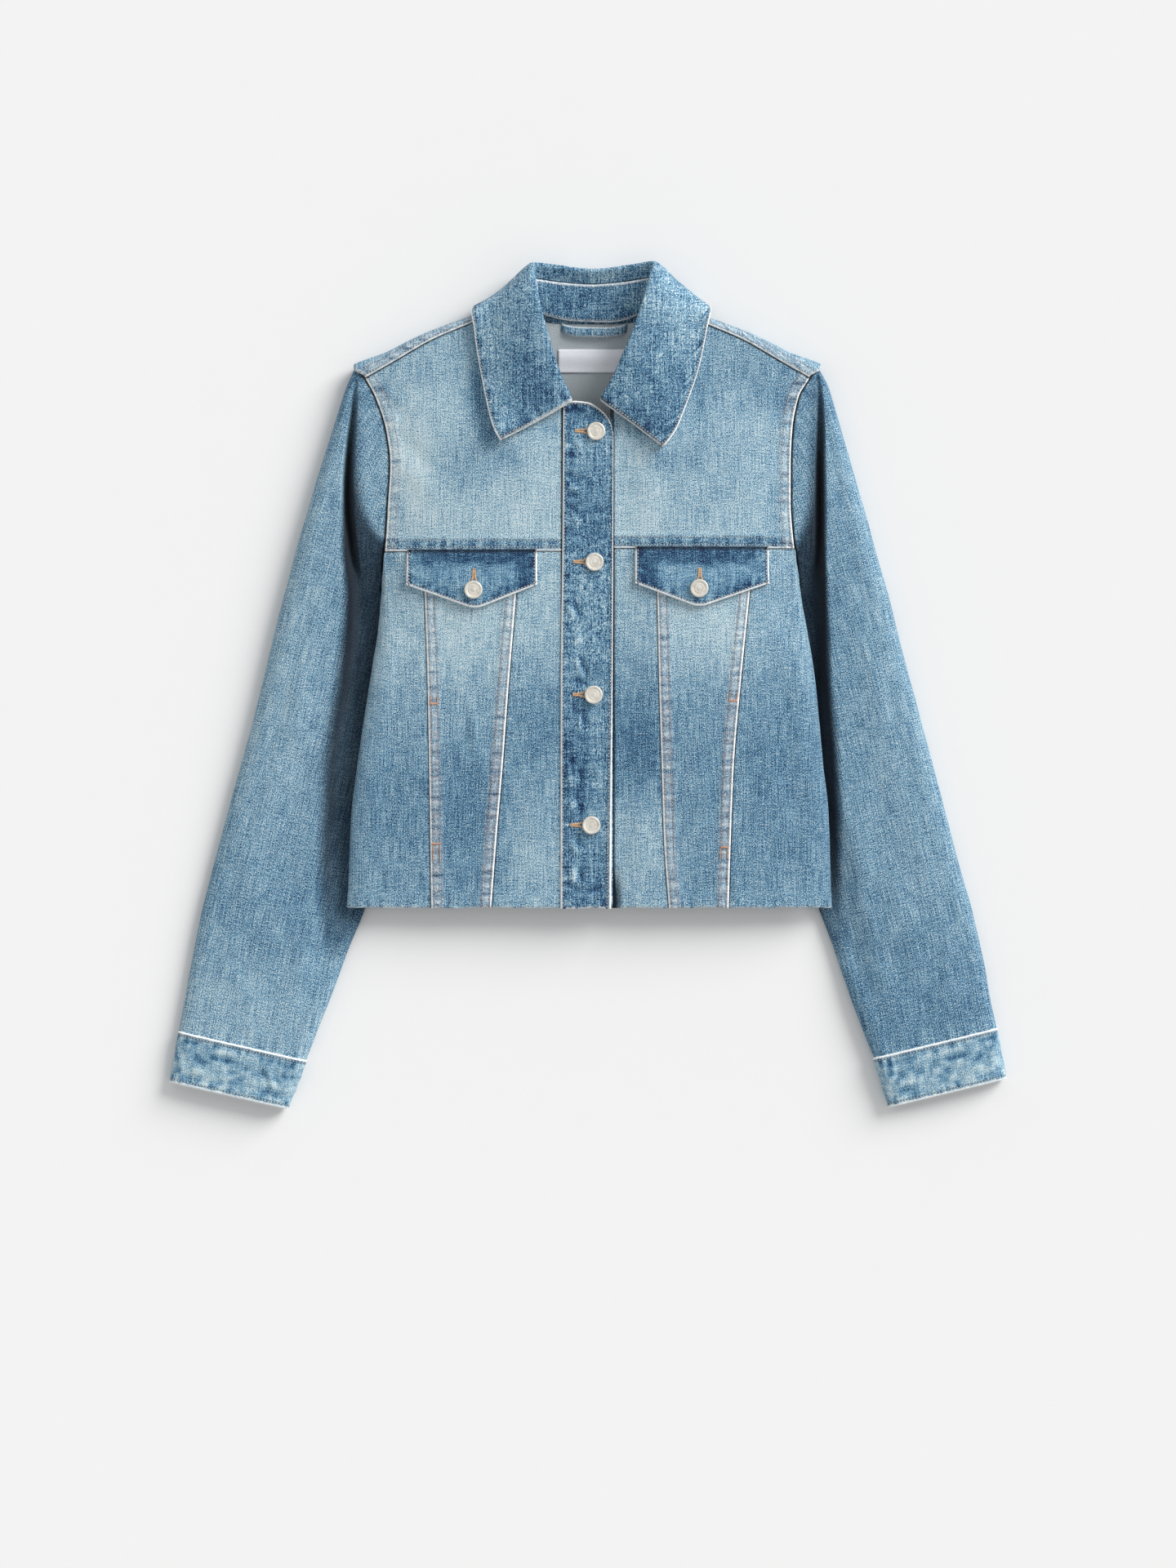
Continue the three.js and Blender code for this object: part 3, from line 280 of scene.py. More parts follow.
def new_mesh(name, points, faces, *finishes):
    """A smooth mesh from points in millimetres and faces that all have as many corners."""
    mesh = bpy.data.meshes.new(name)
    mesh.vertices.add(len(points))
    mesh.vertices.foreach_set("co", (points * MM).ravel())
    mesh.loops.add(faces.size)
    mesh.loops.foreach_set("vertex_index", faces.ravel().astype(np.int32))
    mesh.polygons.add(len(faces))
    starts = np.arange(0, faces.size, faces.shape[1], dtype=np.int32)
    mesh.polygons.foreach_set("loop_start", starts)
    for finish in finishes:
        mesh.materials.append(finish)
    mesh.update(calc_edges=True)
    mesh.polygons.foreach_set("use_smooth", np.ones(len(faces), bool))
    return mesh


def put_down(name, mesh):
    """Adds a mesh to the scene as an object that moves with the jacket's one body."""
    made = bpy.data.objects.new(name, mesh)
    bpy.context.scene.collection.objects.link(made)
    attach(made, "root")
    return made


def make_cloth(name, piece, wall, outside, inside, ring=False):
    """Makes the thin closed mesh of a piece: its outer face, its inner face and the cut edges."""
    kept = np.s_[:, :-1] if ring else np.s_[:, :]
    outer = finished(piece)[kept]
    inner = (piece.base + piece.normal * (piece.sink - wall)[..., None])[kept]
    rows, columns = outer.shape[:2]
    count = rows * columns
    points = np.concatenate([outer.reshape(-1, 3), inner.reshape(-1, 3)])
    here = np.arange(count).reshape(rows, columns)
    rims = [np.concatenate([here[0, :], here[1:, -1], here[-1, -2::-1], here[-2:0:-1, 0]])]
    if ring:
        rims = [here[0, :], here[-1, ::-1]]
        here = np.concatenate([here, here[:, :1]], 1)
    top = np.stack([here[:-1, :-1], here[:-1, 1:], here[1:, 1:], here[1:, :-1]], -1).reshape(-1, 4)
    below = top[:, ::-1] + count
    rim, after = np.concatenate(rims), np.concatenate([np.roll(rim, -1) for rim in rims])
    sides = np.stack([after, rim, rim + count, after + count], -1)
    quads = np.concatenate([top, below, sides])
    corner = outer[0, 0]
    facing_out = np.cross(outer[0, 1] - corner, outer[1, 1] - corner)
    if np.dot(facing_out, piece.normal[0, 0]) < 0:
        quads = quads[:, ::-1]
    mesh = new_mesh(name, points, quads, outside, inside)
    linings = np.zeros(len(quads), np.int32)
    linings[len(top):len(top) + len(below)] = 1
    mesh.polygons.foreach_set("material_index", linings)
    for field in ("fade", "wear", "ink", "seam"):
        values = np.tile(getattr(piece, field)[kept].ravel(), 2)
        mesh.attributes.new(field, "FLOAT", "POINT").data.foreach_set("value", values)
    grain = np.tile(piece.grain[kept].reshape(-1, 3), (2, 1))
    mesh.attributes.new("grain", "FLOAT_VECTOR", "POINT").data.foreach_set("vector", grain.ravel())
    mesh.update()
    return put_down(name, mesh)


# Washed indigo from deep to nearly white, and the bare cotton where the dye has gone
INDIGO = [(0.0, srgb(18, 44, 80)), (0.1, srgb(40, 78, 112)), (0.3, srgb(72, 119, 151)),
          (0.5, srgb(105, 149, 178)), (0.7, srgb(138, 173, 191)), (0.9, srgb(172, 197, 206)),
          (1.0, srgb(206, 221, 224))]
BARE_COTTON = srgb(240, 243, 243)
# The near-black colour of painted shade, mixed into the denim in seam gaps, stitch grooves and
# hollows
PAINTED_SHADE_COLOUR = srgb(7, 17, 29)


def denim_finish(name, slub=1.2, weft=0.8, fleck=3.7, blotch=0.35, cloud=0.3):
    """Washed denim: uneven warp yarns, flecks where the white weft shows, mottled seams."""
    cloth = Nodes(name)
    grain = cloth.add("Attribute", {}, out=1, attribute_name="grain")
    fade, wear, ink, seam = [cloth.add("Attribute", {}, out=2, attribute_name=k)
                             for k in ("fade", "wear", "ink", "seam")]
    yarn = cloth.noise(grain, 1.0, 2.0, (1.1, 0.04, 0.3))
    pick = cloth.noise(grain, 1.0, 2.0, (0.08, 1.15, 0.3))
    speck = cloth.noise(grain, 1.0, 2.0, (1.5, 0.95, 1.5))
    mottle = cloth.noise(grain, 0.17, 3.0)
    drift = cloth.noise(grain, 0.045, 2.0)
    rope = cloth.noise(grain, 0.4, 2.0)
    shade = fade
    for source, amount in ((yarn, slub), (pick, weft), (speck, fleck), (mottle, blotch),
                           (drift, cloud),
                           (rope, cloth.maths("MULTIPLY", seam, 1.1))):
        part = cloth.maths("MULTIPLY", cloth.maths("SUBTRACT", source, 0.5), amount)
        shade = cloth.maths("ADD", shade, part)
    shade = cloth.maths("ADD", cloth.maths("MULTIPLY", shade, 0.9), 0.035)
    colour = cloth.ramp(shade, INDIGO)
    bare = cloth.maths("ADD", cloth.maths("MULTIPLY", rope, 1.5), 0.2)
    bare = cloth.maths("MULTIPLY", wear, bare)
    colour = cloth.add("MixRGB", {"Fac": bare, "Color1": colour, "Color2": BARE_COTTON},
                       use_clamp=True)
    # Mixes in painted shade where the cloth is marked with it
    colour = cloth.add("MixRGB", {"Fac": ink, "Color1": colour, "Color2": PAINTED_SHADE_COLOUR}, use_clamp=True)
    height = cloth.maths("ADD", cloth.maths("MULTIPLY", yarn, 0.6), speck)
    height = cloth.maths("ADD", height, cloth.maths("MULTIPLY", seam, rope))
    relief = cloth.add("Bump", {"Height": height, "Strength": 0.8, "Distance": 0.0006})
    rough = cloth.maths("ADD", cloth.maths("MULTIPLY", speck, 0.2), 0.75)
    cloth.set(cloth.surface, {"Base Color": colour, "Normal": relief, "Roughness": rough,
                              "Specular IOR Level": 0.25, "Sheen Weight": 0.06,
                              "Sheen Roughness": 0.5})
    return cloth.material


def reverse_finish(name):
    """The inside of denim: grey-white weft with thin diagonal lines of blue warp."""
    cloth = Nodes(name)
    grain = cloth.add("Attribute", {}, out=1, attribute_name="grain")
    twill = cloth.add("TexWave", {"Vector": grain, "Scale": 0.42, "Distortion": 1.4},
                      out=1, wave_type="BANDS", bands_direction="DIAGONAL")
    speck = cloth.noise(grain, 1.1, 2.0)
    shade = cloth.maths("ADD", cloth.maths("MULTIPLY", twill, 0.16), speck)
    colour = cloth.ramp(shade, [(0.36, srgb(116, 129, 140)), (0.57, srgb(180, 190, 195)),
                                (0.78, srgb(218, 222, 221))])
    relief = cloth.add("Bump", {"Height": shade, "Strength": 0.5, "Distance": 0.0005})
    cloth.set(cloth.surface, {"Base Color": colour, "Normal": relief, "Roughness": 0.92,
                              "Specular IOR Level": 0.2})
    return cloth.material


body_denim = denim_finish("body_denim")
inside_denim = reverse_finish("inside_denim")


def ripple(s, wave, seed):
    """Uneven waves along a seam, where the thread has drawn the cloth up in the wash."""
    draw = np.random.default_rng(seed)
    total = 0
    for stretch in (0.73, 1.0, 1.41, 2.2):
        wander = 0.9 * np.sin(2 * np.pi * s / (wave * 5.3 * stretch) + draw.uniform(0, 6.28))
        total = total + np.sin(2 * np.pi * s / (wave * stretch) + draw.uniform(0, 6.28) + wander)
    return total / 2.6


LAP = 2.5  # how far a piece runs on under the one that laps over it


def stitch_dent(piece, d, row, shade_strength=0.6):
    """The groove that a row of stitches pulls into the cloth, and painted shade along it."""
    piece.lift -= 0.25 * hill(d - row, 0.6)
    piece.ink += shade_strength * hill(d - row, 0.55)


def lapped(piece, side, seed, rows=(2.2, 7.6), band=9.6, wave=8.0, rope=0.15, white=1.0, deep=0.1,
           haze=0.0):
    """A turned edge on its neighbour: raised, worn white at the fold and stitched down."""
    d, s = piece.near[side], piece.along[side]
    waves = ripple(s, wave, seed)
    inside = 1 - ease((d - band) / 2)
    strip = np.exp(-((d - 4.5) / 5.5) ** 4)
    piece.lift += 0.5 * inside - 0.85 * (1 - np.clip(d / 1.0, 0, 1)) ** 2
    piece.lift += 0.22 * waves * hill(d - 4.5, 5.5)
    piece.fade += (rope * ripple(s, wave * 1.15, seed + 1) - deep) * strip
    piece.seam += strip
    piece.wear += white * 1.2 * hill(d - 0.6, 0.7) * (0.9 + 0.2 * waves)
    piece.wear += haze * strip * np.clip(0.8 + 0.7 * waves, 0, 2)
    for row in rows:
        stitch_dent(piece, d, row)


def tucked(piece, side, seed, shade_strength=0.9, wave=9.0, rope=0.08, step=1.45, shade=0.8):
    """An edge that runs on under its neighbour, with a thin line of painted shadow where the two
    meet.
    """
    d, s = piece.near[side] - LAP, piece.along[side]
    waves = ripple(s, wave, seed)
    piece.sink -= step * (1 - ease((d + 0.6) / 1.3)) + 0.35 * np.exp(-np.clip(d, 0, None) / 1.8)
    piece.lift += 0.16 * waves * hill(np.clip(d, 0, None), 7)
    piece.fade += rope * ripple(s, wave * 1.1, seed + 1) * hill(np.clip(d, 0, None), 9)
    piece.seam += 0.5 * hill(np.clip(d, 0, None), 6)
    piece.ink += shade_strength * hill(np.clip(d - 0.1, 0, None), shade)


def hemmed(piece, side, seed, white=0.55, wave=15.0):
    """A narrow plain hem, folded under and pressed: a soft round edge, a little drawn up."""
    d, s = piece.near[side], piece.along[side]
    waves = ripple(s, wave, seed)
    drawn = 0.5 * ripple(piece.base[..., 0], 43, 900) + 0.22 * ripple(piece.base[..., 0], 8, 901)
    piece.base[..., 1] += drawn * hill(d, 6)
    piece.lift += 0.25 * (1 - ease((d - 11) / 3)) - 0.9 * (1 - np.clip(d / 1.6, 0, 1)) ** 2
    piece.lift += 0.3 * waves * hill(d - 5, 7)
    piece.fade += 0.12 * ripple(s, wave * 0.7, seed + 1) * hill(d, 11)
    piece.seam += 0.8 * hill(d, 11)
    piece.wear += white * hill(d - 0.3, 0.9) * np.clip(0.7 + 0.6 * waves, 0, 1)


def creases(x, y, rows):
    """Soft ridges and troughs at listed places: two ends, half width and height of each."""
    total = np.zeros(np.broadcast(x, y).shape)
    for x0, y0, x1, y1, width, height in rows:
        run = math.hypot(x1 - x0, y1 - y0)
        along = ((x - x0) * (x1 - x0) + (y - y0) * (y1 - y0)) / run
        off = ((x - x0) * (y1 - y0) - (y - y0) * (x1 - x0)) / run
        ends = ease(along / (0.35 * run)) * ease((run - along) / (0.35 * run))
        total += height * hill(off, width) * ends
    return total


def place_stitches(piece, side, distance, pitch=2.6, span=None):
    """Centres, directions and normals of the stitches in a row at a set distance from an edge."""
    outer, d = finished(piece), piece.near[side]
    fields = np.concatenate([outer, piece.normal], -1)
    if side in ("bottom", "top"):
        fields, d = fields.transpose(1, 0, 2), d.T
    if side in ("right", "top"):
        fields, d = fields[:, ::-1], d[:, ::-1]
    line = np.array([[np.interp(distance, d[i], fields[i, :, k]) for k in range(6)]
                     for i in range(len(d))])
    s = lengths(line[:, None, :3], 0)[:, 0]
    start, stop = span if span else (1.0, s[-1] - 1.0)
    stop = min(stop, s[-1] - 1.0) if stop > 0 else s[-1] + stop
    count = max(int((stop - start) / pitch), 1)
    at = start + (np.arange(count) + 0.5) * (stop - start) / count
    row = np.stack([np.interp(at, s, line[:, k]) for k in range(6)], -1)
    ahead = np.stack([np.interp(at + 0.8, s, line[:, k]) for k in range(3)], -1)
    behind = np.stack([np.interp(at - 0.8, s, line[:, k]) for k in range(3)], -1)
    way = ahead - behind
    way /= np.maximum(np.linalg.norm(way, axis=1, keepdims=True), 1e-9)
    return np.concatenate([row[:, :3], way, row[:, 3:]], -1)


def thread_finish(name, pale, deep):
    """Washed cotton thread, in fine specks of its pale and its darker colour."""
    thread = Nodes(name)
    place = thread.add("TexCoord", {}, out=3)
    speck = thread.noise(place, 900.0)
    colour = thread.ramp(speck, [(0.35, deep), (0.6, pale)])
    relief = thread.add("Bump", {"Height": speck, "Strength": 0.4, "Distance": 0.0002})
    thread.set(thread.surface, {"Base Color": colour, "Normal": relief, "Roughness": 0.7,
                                "Specular IOR Level": 0.3})
    return thread.material


pale_thread = thread_finish("pale_thread", srgb(206, 216, 224), srgb(150, 168, 184))
dusty_thread = thread_finish("dusty_thread", srgb(194, 186, 190), srgb(146, 148, 160))


def sew(name, stitches, finish, length=1.8, radius=0.36):
    """Makes all the stitches of a group as one mesh of small spindles that dive in at both ends."""
    places = np.concatenate(stitches)
    way, up = places[:, 3:6], places[:, 6:9]
    side = np.cross(up, way)
    sides = 5
    turn = np.arange(sides) * 2 * np.pi / sides
    rings = [(-0.34, 0.8, 0.05), (0.0, 1.0, 0.12), (0.34, 0.8, 0.05)]
    shape = [(-0.5 * length, 0, -0.25)]
    for along, wide, high in rings:
        shape += [(along * length, wide * radius * math.cos(a), high + wide * radius * math.sin(a))
                  for a in turn]
    shape.append((0.5 * length, 0, -0.25))
    shape = np.array(shape)
    points = (places[:, None, :3] + shape[None, :, :1] * way[:, None]
              + shape[None, :, 1:2] * side[:, None] + shape[None, :, 2:] * up[:, None])
    faces = []
    last = len(shape) - 1
    for k in range(sides):
        n = (k + 1) % sides
        faces.append((0, 1 + n, 1 + k))
        faces.append((last, last - sides + k, last - sides + n))
        for ring in range(len(rings) - 1):
            a, b = 1 + ring * sides + k, 1 + ring * sides + n
            faces.append((a, b, b + sides))
            faces.append((a, b + sides, a + sides))
    faces = np.array(faces)
    offsets = (np.arange(len(places)) * len(shape))[:, None, None]
    corners = (faces[None] + offsets).reshape(-1, 3)
    made = put_down(name, new_mesh(name, points.reshape(-1, 3), corners, finish))


back_y = np.concatenate([np.linspace(BACK_HEM_Y, 60, 62)[:-1],
                         np.linspace(60, BACK_YOKE_SEAM_Y - 0.15, 30)])
back_u = np.concatenate([np.linspace(0, 0.16, 16)[:-1], np.linspace(0.16, 0.84, 60)[:-1],
                         np.linspace(0.84, 1, 16)])
back_x = mix(-back_bound(-1, back_y)[:, None], back_bound(1, back_y)[:, None], back_u[None])
back_rows = np.broadcast_to(back_y[:, None], back_x.shape)
back = lay_out(np.stack([back_x, back_rows, floor_at(back_x, back_rows)], -1), face=-1)
back.normal[..., 2] = -np.abs(back.normal[..., 2])
back.fade += 0.55 + 0.12 * ease((back_rows + 60) / 160) - 0.1 * hill(np.abs(back_x) - 90, 40)
back.wear += 0.5 * hill(back.near["bottom"], 1.2)
back_panel = make_cloth("back_panel_cloth", back, DENIM_WALL, body_denim, inside_denim)
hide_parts("back_panel")

# Back yoke
# The yoke across the shoulders is cut from the same denim. It comes forward over each shoulder in a
# soft fold and is felled to the front yoke, so a strip of it shows above the front shoulder seam.

SHOULDER = table("x seam fold", [
    (46, 320.5, 326.5), (70, 313, 319), (98, 301.4, 307.6), (129.5, 288, 296.5),
    (163, 269, 280.5), (186, 256, 267.5)])
SHOULDER_TURN = 10


def front(across, y):
    """The outer face of the fronts, by distance over the cloth from the centre line, and height."""
    across, y = np.broadcast_arrays(np.asarray(across, float), np.asarray(y, float))
    side = np.where(across < 0, -1.0, 1.0)
    reach = np.abs(across)
    edge = np.where(across < 0, OUTLINE.left(y), OUTLINE.right(y))
    roll, brow, rim, tuck = RISE.roll(y), RISE.brow(y), RISE.edge(y), RISE.tuck(y)
    flat, upper = edge - roll, roll * np.pi / 2
    sink = np.where(across > 0, 1.7 * ease((62 - across) / 42), 0)
    level = RISE.crown(y) + (brow - RISE.crown(y)) * np.clip(reach / flat, 0, 1) ** 4 - sink
    turn = np.clip((reach - flat) / upper, 0, 1) * np.pi / 2
    under = np.clip((reach - flat - upper) / tuck, 0, 1) * np.pi / 2
    over = reach - flat <= upper
    x = np.where(over, side * (flat + roll * np.sin(turn)),
                 side * (edge - tuck * (1 - np.cos(under))))
    z = np.where(over, rim + (brow - rim) * np.cos(turn), rim - (rim - RISE.low(y)) * np.sin(under))
    level_part = reach <= flat
    return np.stack([np.where(level_part, across, x), y, np.where(level_part, level, z)], -1)


STRIP_END = 8.5  # the shoulder strip reaches this far out over the top of each sleeve
STRIP_ROWS = (2.2, 7.8)  # its two rows of stitches, from the front shoulder seam
SHOULDER_TIP_Y = 256.0
NECK_HALF_LEFT, NECK_HALF_RIGHT = 45.0, 50.5


def yoke_column(u):
    """One column of the back yoke, from the front shoulder seam over the fold to the back seam."""
    top_left, top_right = edge_at(-1, SHOULDER_TIP_Y) - 0.8, edge_at(1, SHOULDER_TIP_Y) - 0.8
    x = mix(-top_left, top_right, u)
    side, reach = (-1, -x) if x < 0 else (1, x)
    neck_half = NECK_HALF_LEFT if side < 0 else NECK_HALF_RIGHT
    quarter = np.linspace(0, np.pi / 2, 22)
    out = np.zeros(43)
    if reach >= neck_half:
        seam, fold = SHOULDER.seam(reach) - 0.3, SHOULDER.fold(reach)
        top = front(x, SHOULDER.seam(reach))[2] + 0.4
        floor = floor_at(x, fold - SHOULDER_TURN)
        middle = mix(floor, top, 0.5)
        y = np.concatenate([seam + (fold - seam) * np.sin(quarter),
                            fold - SHOULDER_TURN * (1 - np.cos(quarter[1:]))])
        z = np.concatenate([middle + (top - middle) * np.cos(quarter),
                            middle - (middle - floor) * np.sin(quarter[1:])])
        swell = np.concatenate([1.15 * ease(np.sin(quarter) / 0.65), np.cos(quarter[1:])])
        out = side * STRIP_END * ease((reach - 166) / 19) * swell
    else:
        t = reach / neck_half
        y = np.linspace(301.6 + 8 * t ** 6, 294, 43)
        z = floor_at(x, y) + 3.2 * t ** 6 * np.linspace(1, 0, 43)
    s = np.linspace(0, 1, 52)[1:]
    down = mix(y[-1], BACK_YOKE_SEAM_Y + 0.15, s)
    seam_x = mix(-back_bound(-1, BACK_YOKE_SEAM_Y), back_bound(1, BACK_YOKE_SEAM_Y), u)
    straight = mix(x, seam_x, s)
    share = np.clip(reach / (edge_at(side, SHOULDER_TIP_Y) - 0.8), 0, 1) ** 0.2
    inside = side * np.minimum(np.abs(straight), back_bound(side, down) * share)
    columns = np.concatenate([x + out, inside])
    rows = np.concatenate([y, down])
    return np.stack([columns, rows, np.concatenate([z, floor_at(inside, down)])], -1)


YOKE_COLUMNS = np.concatenate([np.linspace(0, 0.36, 62)[:-1], np.linspace(0.36, 0.64, 50)[:-1],
                               np.linspace(0.64, 1, 62)])
yoke_grid = np.stack([yoke_column(u) for u in YOKE_COLUMNS])
back_yoke = lay_out(yoke_grid)
turn_up(back_yoke, 30, 70)
back_yoke.normal *= -1
back_yoke.fade += 0.58
yoke_x = yoke_grid[..., 0]
back_yoke.grain = np.stack([yoke_x, back_yoke.near["left"], np.zeros_like(yoke_x)], -1)
lapped(back_yoke, "left", 40, rows=STRIP_ROWS, rope=0.3, haze=0.22)
for end in ("bottom", "top"):
    cut = hill(back_yoke.near[end], 1.2) * np.exp(-(back_yoke.along[end] / 15) ** 4)
    back_yoke.wear += 0.9 * cut
    back_yoke.lift += 0.4 * cut
back_yoke_piece = make_cloth("back_yoke_cloth", back_yoke, DENIM_WALL, body_denim, inside_denim)
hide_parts("back_yoke")
COLLAR_COVERS = 8  # the collar hides the strip this far beyond the neck
strip_stitches = []
for row in STRIP_ROWS:
    whole = place_stitches(back_yoke, "left", row)
    bare_left = whole[:, 0] < -NECK_HALF_LEFT - COLLAR_COVERS
    bare_right = whole[:, 0] > NECK_HALF_RIGHT + COLLAR_COVERS
    strip_stitches.append(whole[bare_left | bare_right])

# Front yokes
# The upper fronts are the palest part of the wash. Each is felled over
# the panels and the pocket flap below it with two rows of stitching,
# and runs under the placket, the collar and the sleeve's seam.

HEM_Y = -185.4
YOKE_SEAM_Y = 111.4
SEAM_STEP = 2.4
PLACKET_HALF = 21
PLACKET_CLEAR = 0.3
NECKLINE_Y = 232  # the neckline leaves the placket here
NECKLINE = table("y left right", [
    (232, 21.3, 21.6), (240, 21.8, 21.8), (258, 28.5, 28), (281, 38, 38.4), (303, 45.5, 49.6),
    (321, 51.5, 56.5)])

# How pale the wash has left the fronts, by height, on the panels beside the
# placket, over the ribs and at the sides, on the wearer's right (L) and left (R)
FRONT_WASH = table("y centreL middleL sideL centreR middleR sideR", [
    (-186, 0.66, 0.50, 0.52, 0.64, 0.48, 0.50),
    (-150, 0.70, 0.38, 0.47, 0.70, 0.46, 0.42),
    (-115, 0.60, 0.37, 0.43, 0.66, 0.47, 0.41),
    (-85, 0.54, 0.37, 0.43, 0.46, 0.45, 0.38),
    (-45, 0.44, 0.48, 0.53, 0.26, 0.44, 0.40),
    (-10, 0.48, 0.60, 0.60, 0.40, 0.52, 0.46),
    (25, 0.66, 0.78, 0.72, 0.58, 0.74, 0.56),
    (60, 0.78, 0.88, 0.76, 0.70, 0.88, 0.60),
    (100, 0.76, 0.80, 0.72, 0.72, 0.78, 0.62),
    (135, 0.90, 0.84, 0.94, 0.92, 0.74, 0.78),
    (180, 0.82, 0.76, 1.04, 0.82, 0.68, 0.71),
    (220, 0.77, 0.76, 0.90, 0.77, 0.66, 0.68),
    (256, 0.70, 0.70, 0.70, 0.66, 0.58, 0.50),
    (310, 0.62, 0.62, 0.60, 0.60, 0.54, 0.50)])
# Patches on top of that: middle, half width and half height, and how much paler or darker.
# The dark patches beside and below the collar's leaf are painted shadow of the leaf; the rest are
# wash
WASH_AND_SHADOW_PATCHES = [
    (45, -62, 14, 26, -0.12), (-42, -40, 14, 22, -0.08), (-170, 243, 5, 12, -0.3),
    (-157, 151, 7, 20, -0.32), (-166, 103, 6, 8, -0.25), (158, 150, 9, 26, -0.2),
    (164, 232, 8, 16, -0.25), (120, 40, 20, 30, 0.06), (-110, 30, 16, 34, 0.08),
    (-60, -132, 18, 30, 0.05), (60, -130, 16, 30, 0.06), (-100, -96, 20, 26, -0.05),
    (150, -60, 26, 30, -0.04), (-165, -70, 20, 40, -0.05), (-95, 172, 20, 18, -0.12),
    (0, 150, 60, 30, -0.04), (-92, 248, 7, 28, -0.44), (-84, 214, 9, 20, -0.4),
    (-104, 188, 12, 16, -0.16), (-66, 190, 14, 12, -0.24), (-36, 214, 18, 8, -0.2),
    (66, 186, 14, 10, -0.24), (92, 240, 9, 40, -0.16), (40, 212, 18, 8, -0.2)]


def with_patches(fade, x, y, rows):
    """Adds soft patches to a wash: middle, half width, half height and amount of each."""
    for px, py, wide, tall, amount in rows:
        fade = fade + amount * np.exp(-((x - px) / wide) ** 2 - ((y - py) / tall) ** 2)
    return fade


def front_fade(across, y):
    x = np.abs(across)
    left = across < 0
    near = np.where(left, FRONT_WASH.centreL(y), FRONT_WASH.centreR(y))
    rib = np.where(left, FRONT_WASH.middleL(y), FRONT_WASH.middleR(y))
    far = np.where(left, FRONT_WASH.sideL(y), FRONT_WASH.sideR(y))
    fade = mix(mix(near, rib, ease((x - 50) / 30)), far, ease((x - 118) / 26))
    return with_patches(fade, across, y, WASH_AND_SHADOW_PATCHES)


# Soft folds over both fronts: ridges are positive and troughs negative
FRONT_CREASES = [
    (-92, 300, -66, 190, 11, 1.7), (96, 300, 60, 184, 11, 1.4), (-76, 190, -30, 226, 9, 1.2),
    (66, 184, 30, 222, 9, 1.2), (-172, 250, -150, 232, 2.6, 0.7), (-174, 240, -150, 222, 2.4, -0.6),
    (-172, 228, -154, 214, 2.6, 0.5), (172, 248, 150, 230, 2.6, 0.7),
    (174, 238, 152, 222, 2.4, -0.6), (-168, 196, -120, 150, 9, 0.9),
    (-160, 214, -128, 176, 6, -0.7), (166, 192, 118, 148, 9, 0.9), (162, 214, 130, 178, 6, -0.7),
    (-60, 150, -34, 214, 10, 0.7), (40, 148, 60, 214, 11, 0.7), (-186, -20, -150, 60, 10, 0.9),
    (-178, -120, -150, -30, 12, -0.9), (188, -30, 152, 56, 11, 0.9),
    (180, -126, 158, -34, 12, -0.9), (-92, -70, -98, -6, 3.2, 0.8),
    (-99, -64, -103, -18, 2.6, -0.6), (-84, -98, -92, -46, 4, 0.5), (-48, -170, -40, -60, 10, 0.6),
    (44, -172, 40, -70, 10, 0.7), (98, -150, 90, -20, 12, 0.6), (-128, -176, -84, -168, 5, 0.5),
    (-96, -188, -88, -160, 3, 0.7), (-72, -190, -60, -170, 3, 0.6), (70, -188, 78, -164, 3, 0.6),
    (120, -186, 128, -158, 4, 0.6)]

fronts = {
    "right": SimpleNamespace(side=-1, seam_step=0.0, letter="L"),
    "left": SimpleNamespace(side=1, seam_step=SEAM_STEP, letter="R"),
}


def front_piece(across, y, grain_tilt=0.0):
    """A piece of a front from its places over the cloth, with its wash and its soft folds."""
    piece = lay_out(front(across, y))
    piece.normal *= np.sign(piece.normal[len(piece.normal) // 2, across.shape[1] // 2, 2])
    piece.grain = np.stack([across + y * grain_tilt, y, np.zeros_like(across)], -1)
    piece.fade = front_fade(across, y)
    piece.lift = creases(across, y, FRONT_CREASES)
    return piece


pale_denim = denim_finish("pale_denim", blotch=0.3)
YOKE_ROWS = (3.1, 9.0)  # stitches above the yoke seam
ARMHOLE_ROWS = (2.4, 8.4)  # stitches beside the armhole
SHOULDER_TURN_IN = 2.2  # the top of the yoke runs on under the shoulder strip
NECK_END_Y = 321.0
front_stitches = []


def stretched(bottom, top, left, right, u, v):
    """Fills four joined border curves with a grid: each curve is a row of points."""
    u, v = u[None, :, None], v[:, None, None]
    across = mix(bottom[None], top[None], v) + mix(left[:, None], right[:, None], u)
    return across - mix(mix(bottom[0], bottom[-1], u), mix(top[0], top[-1], u), v)


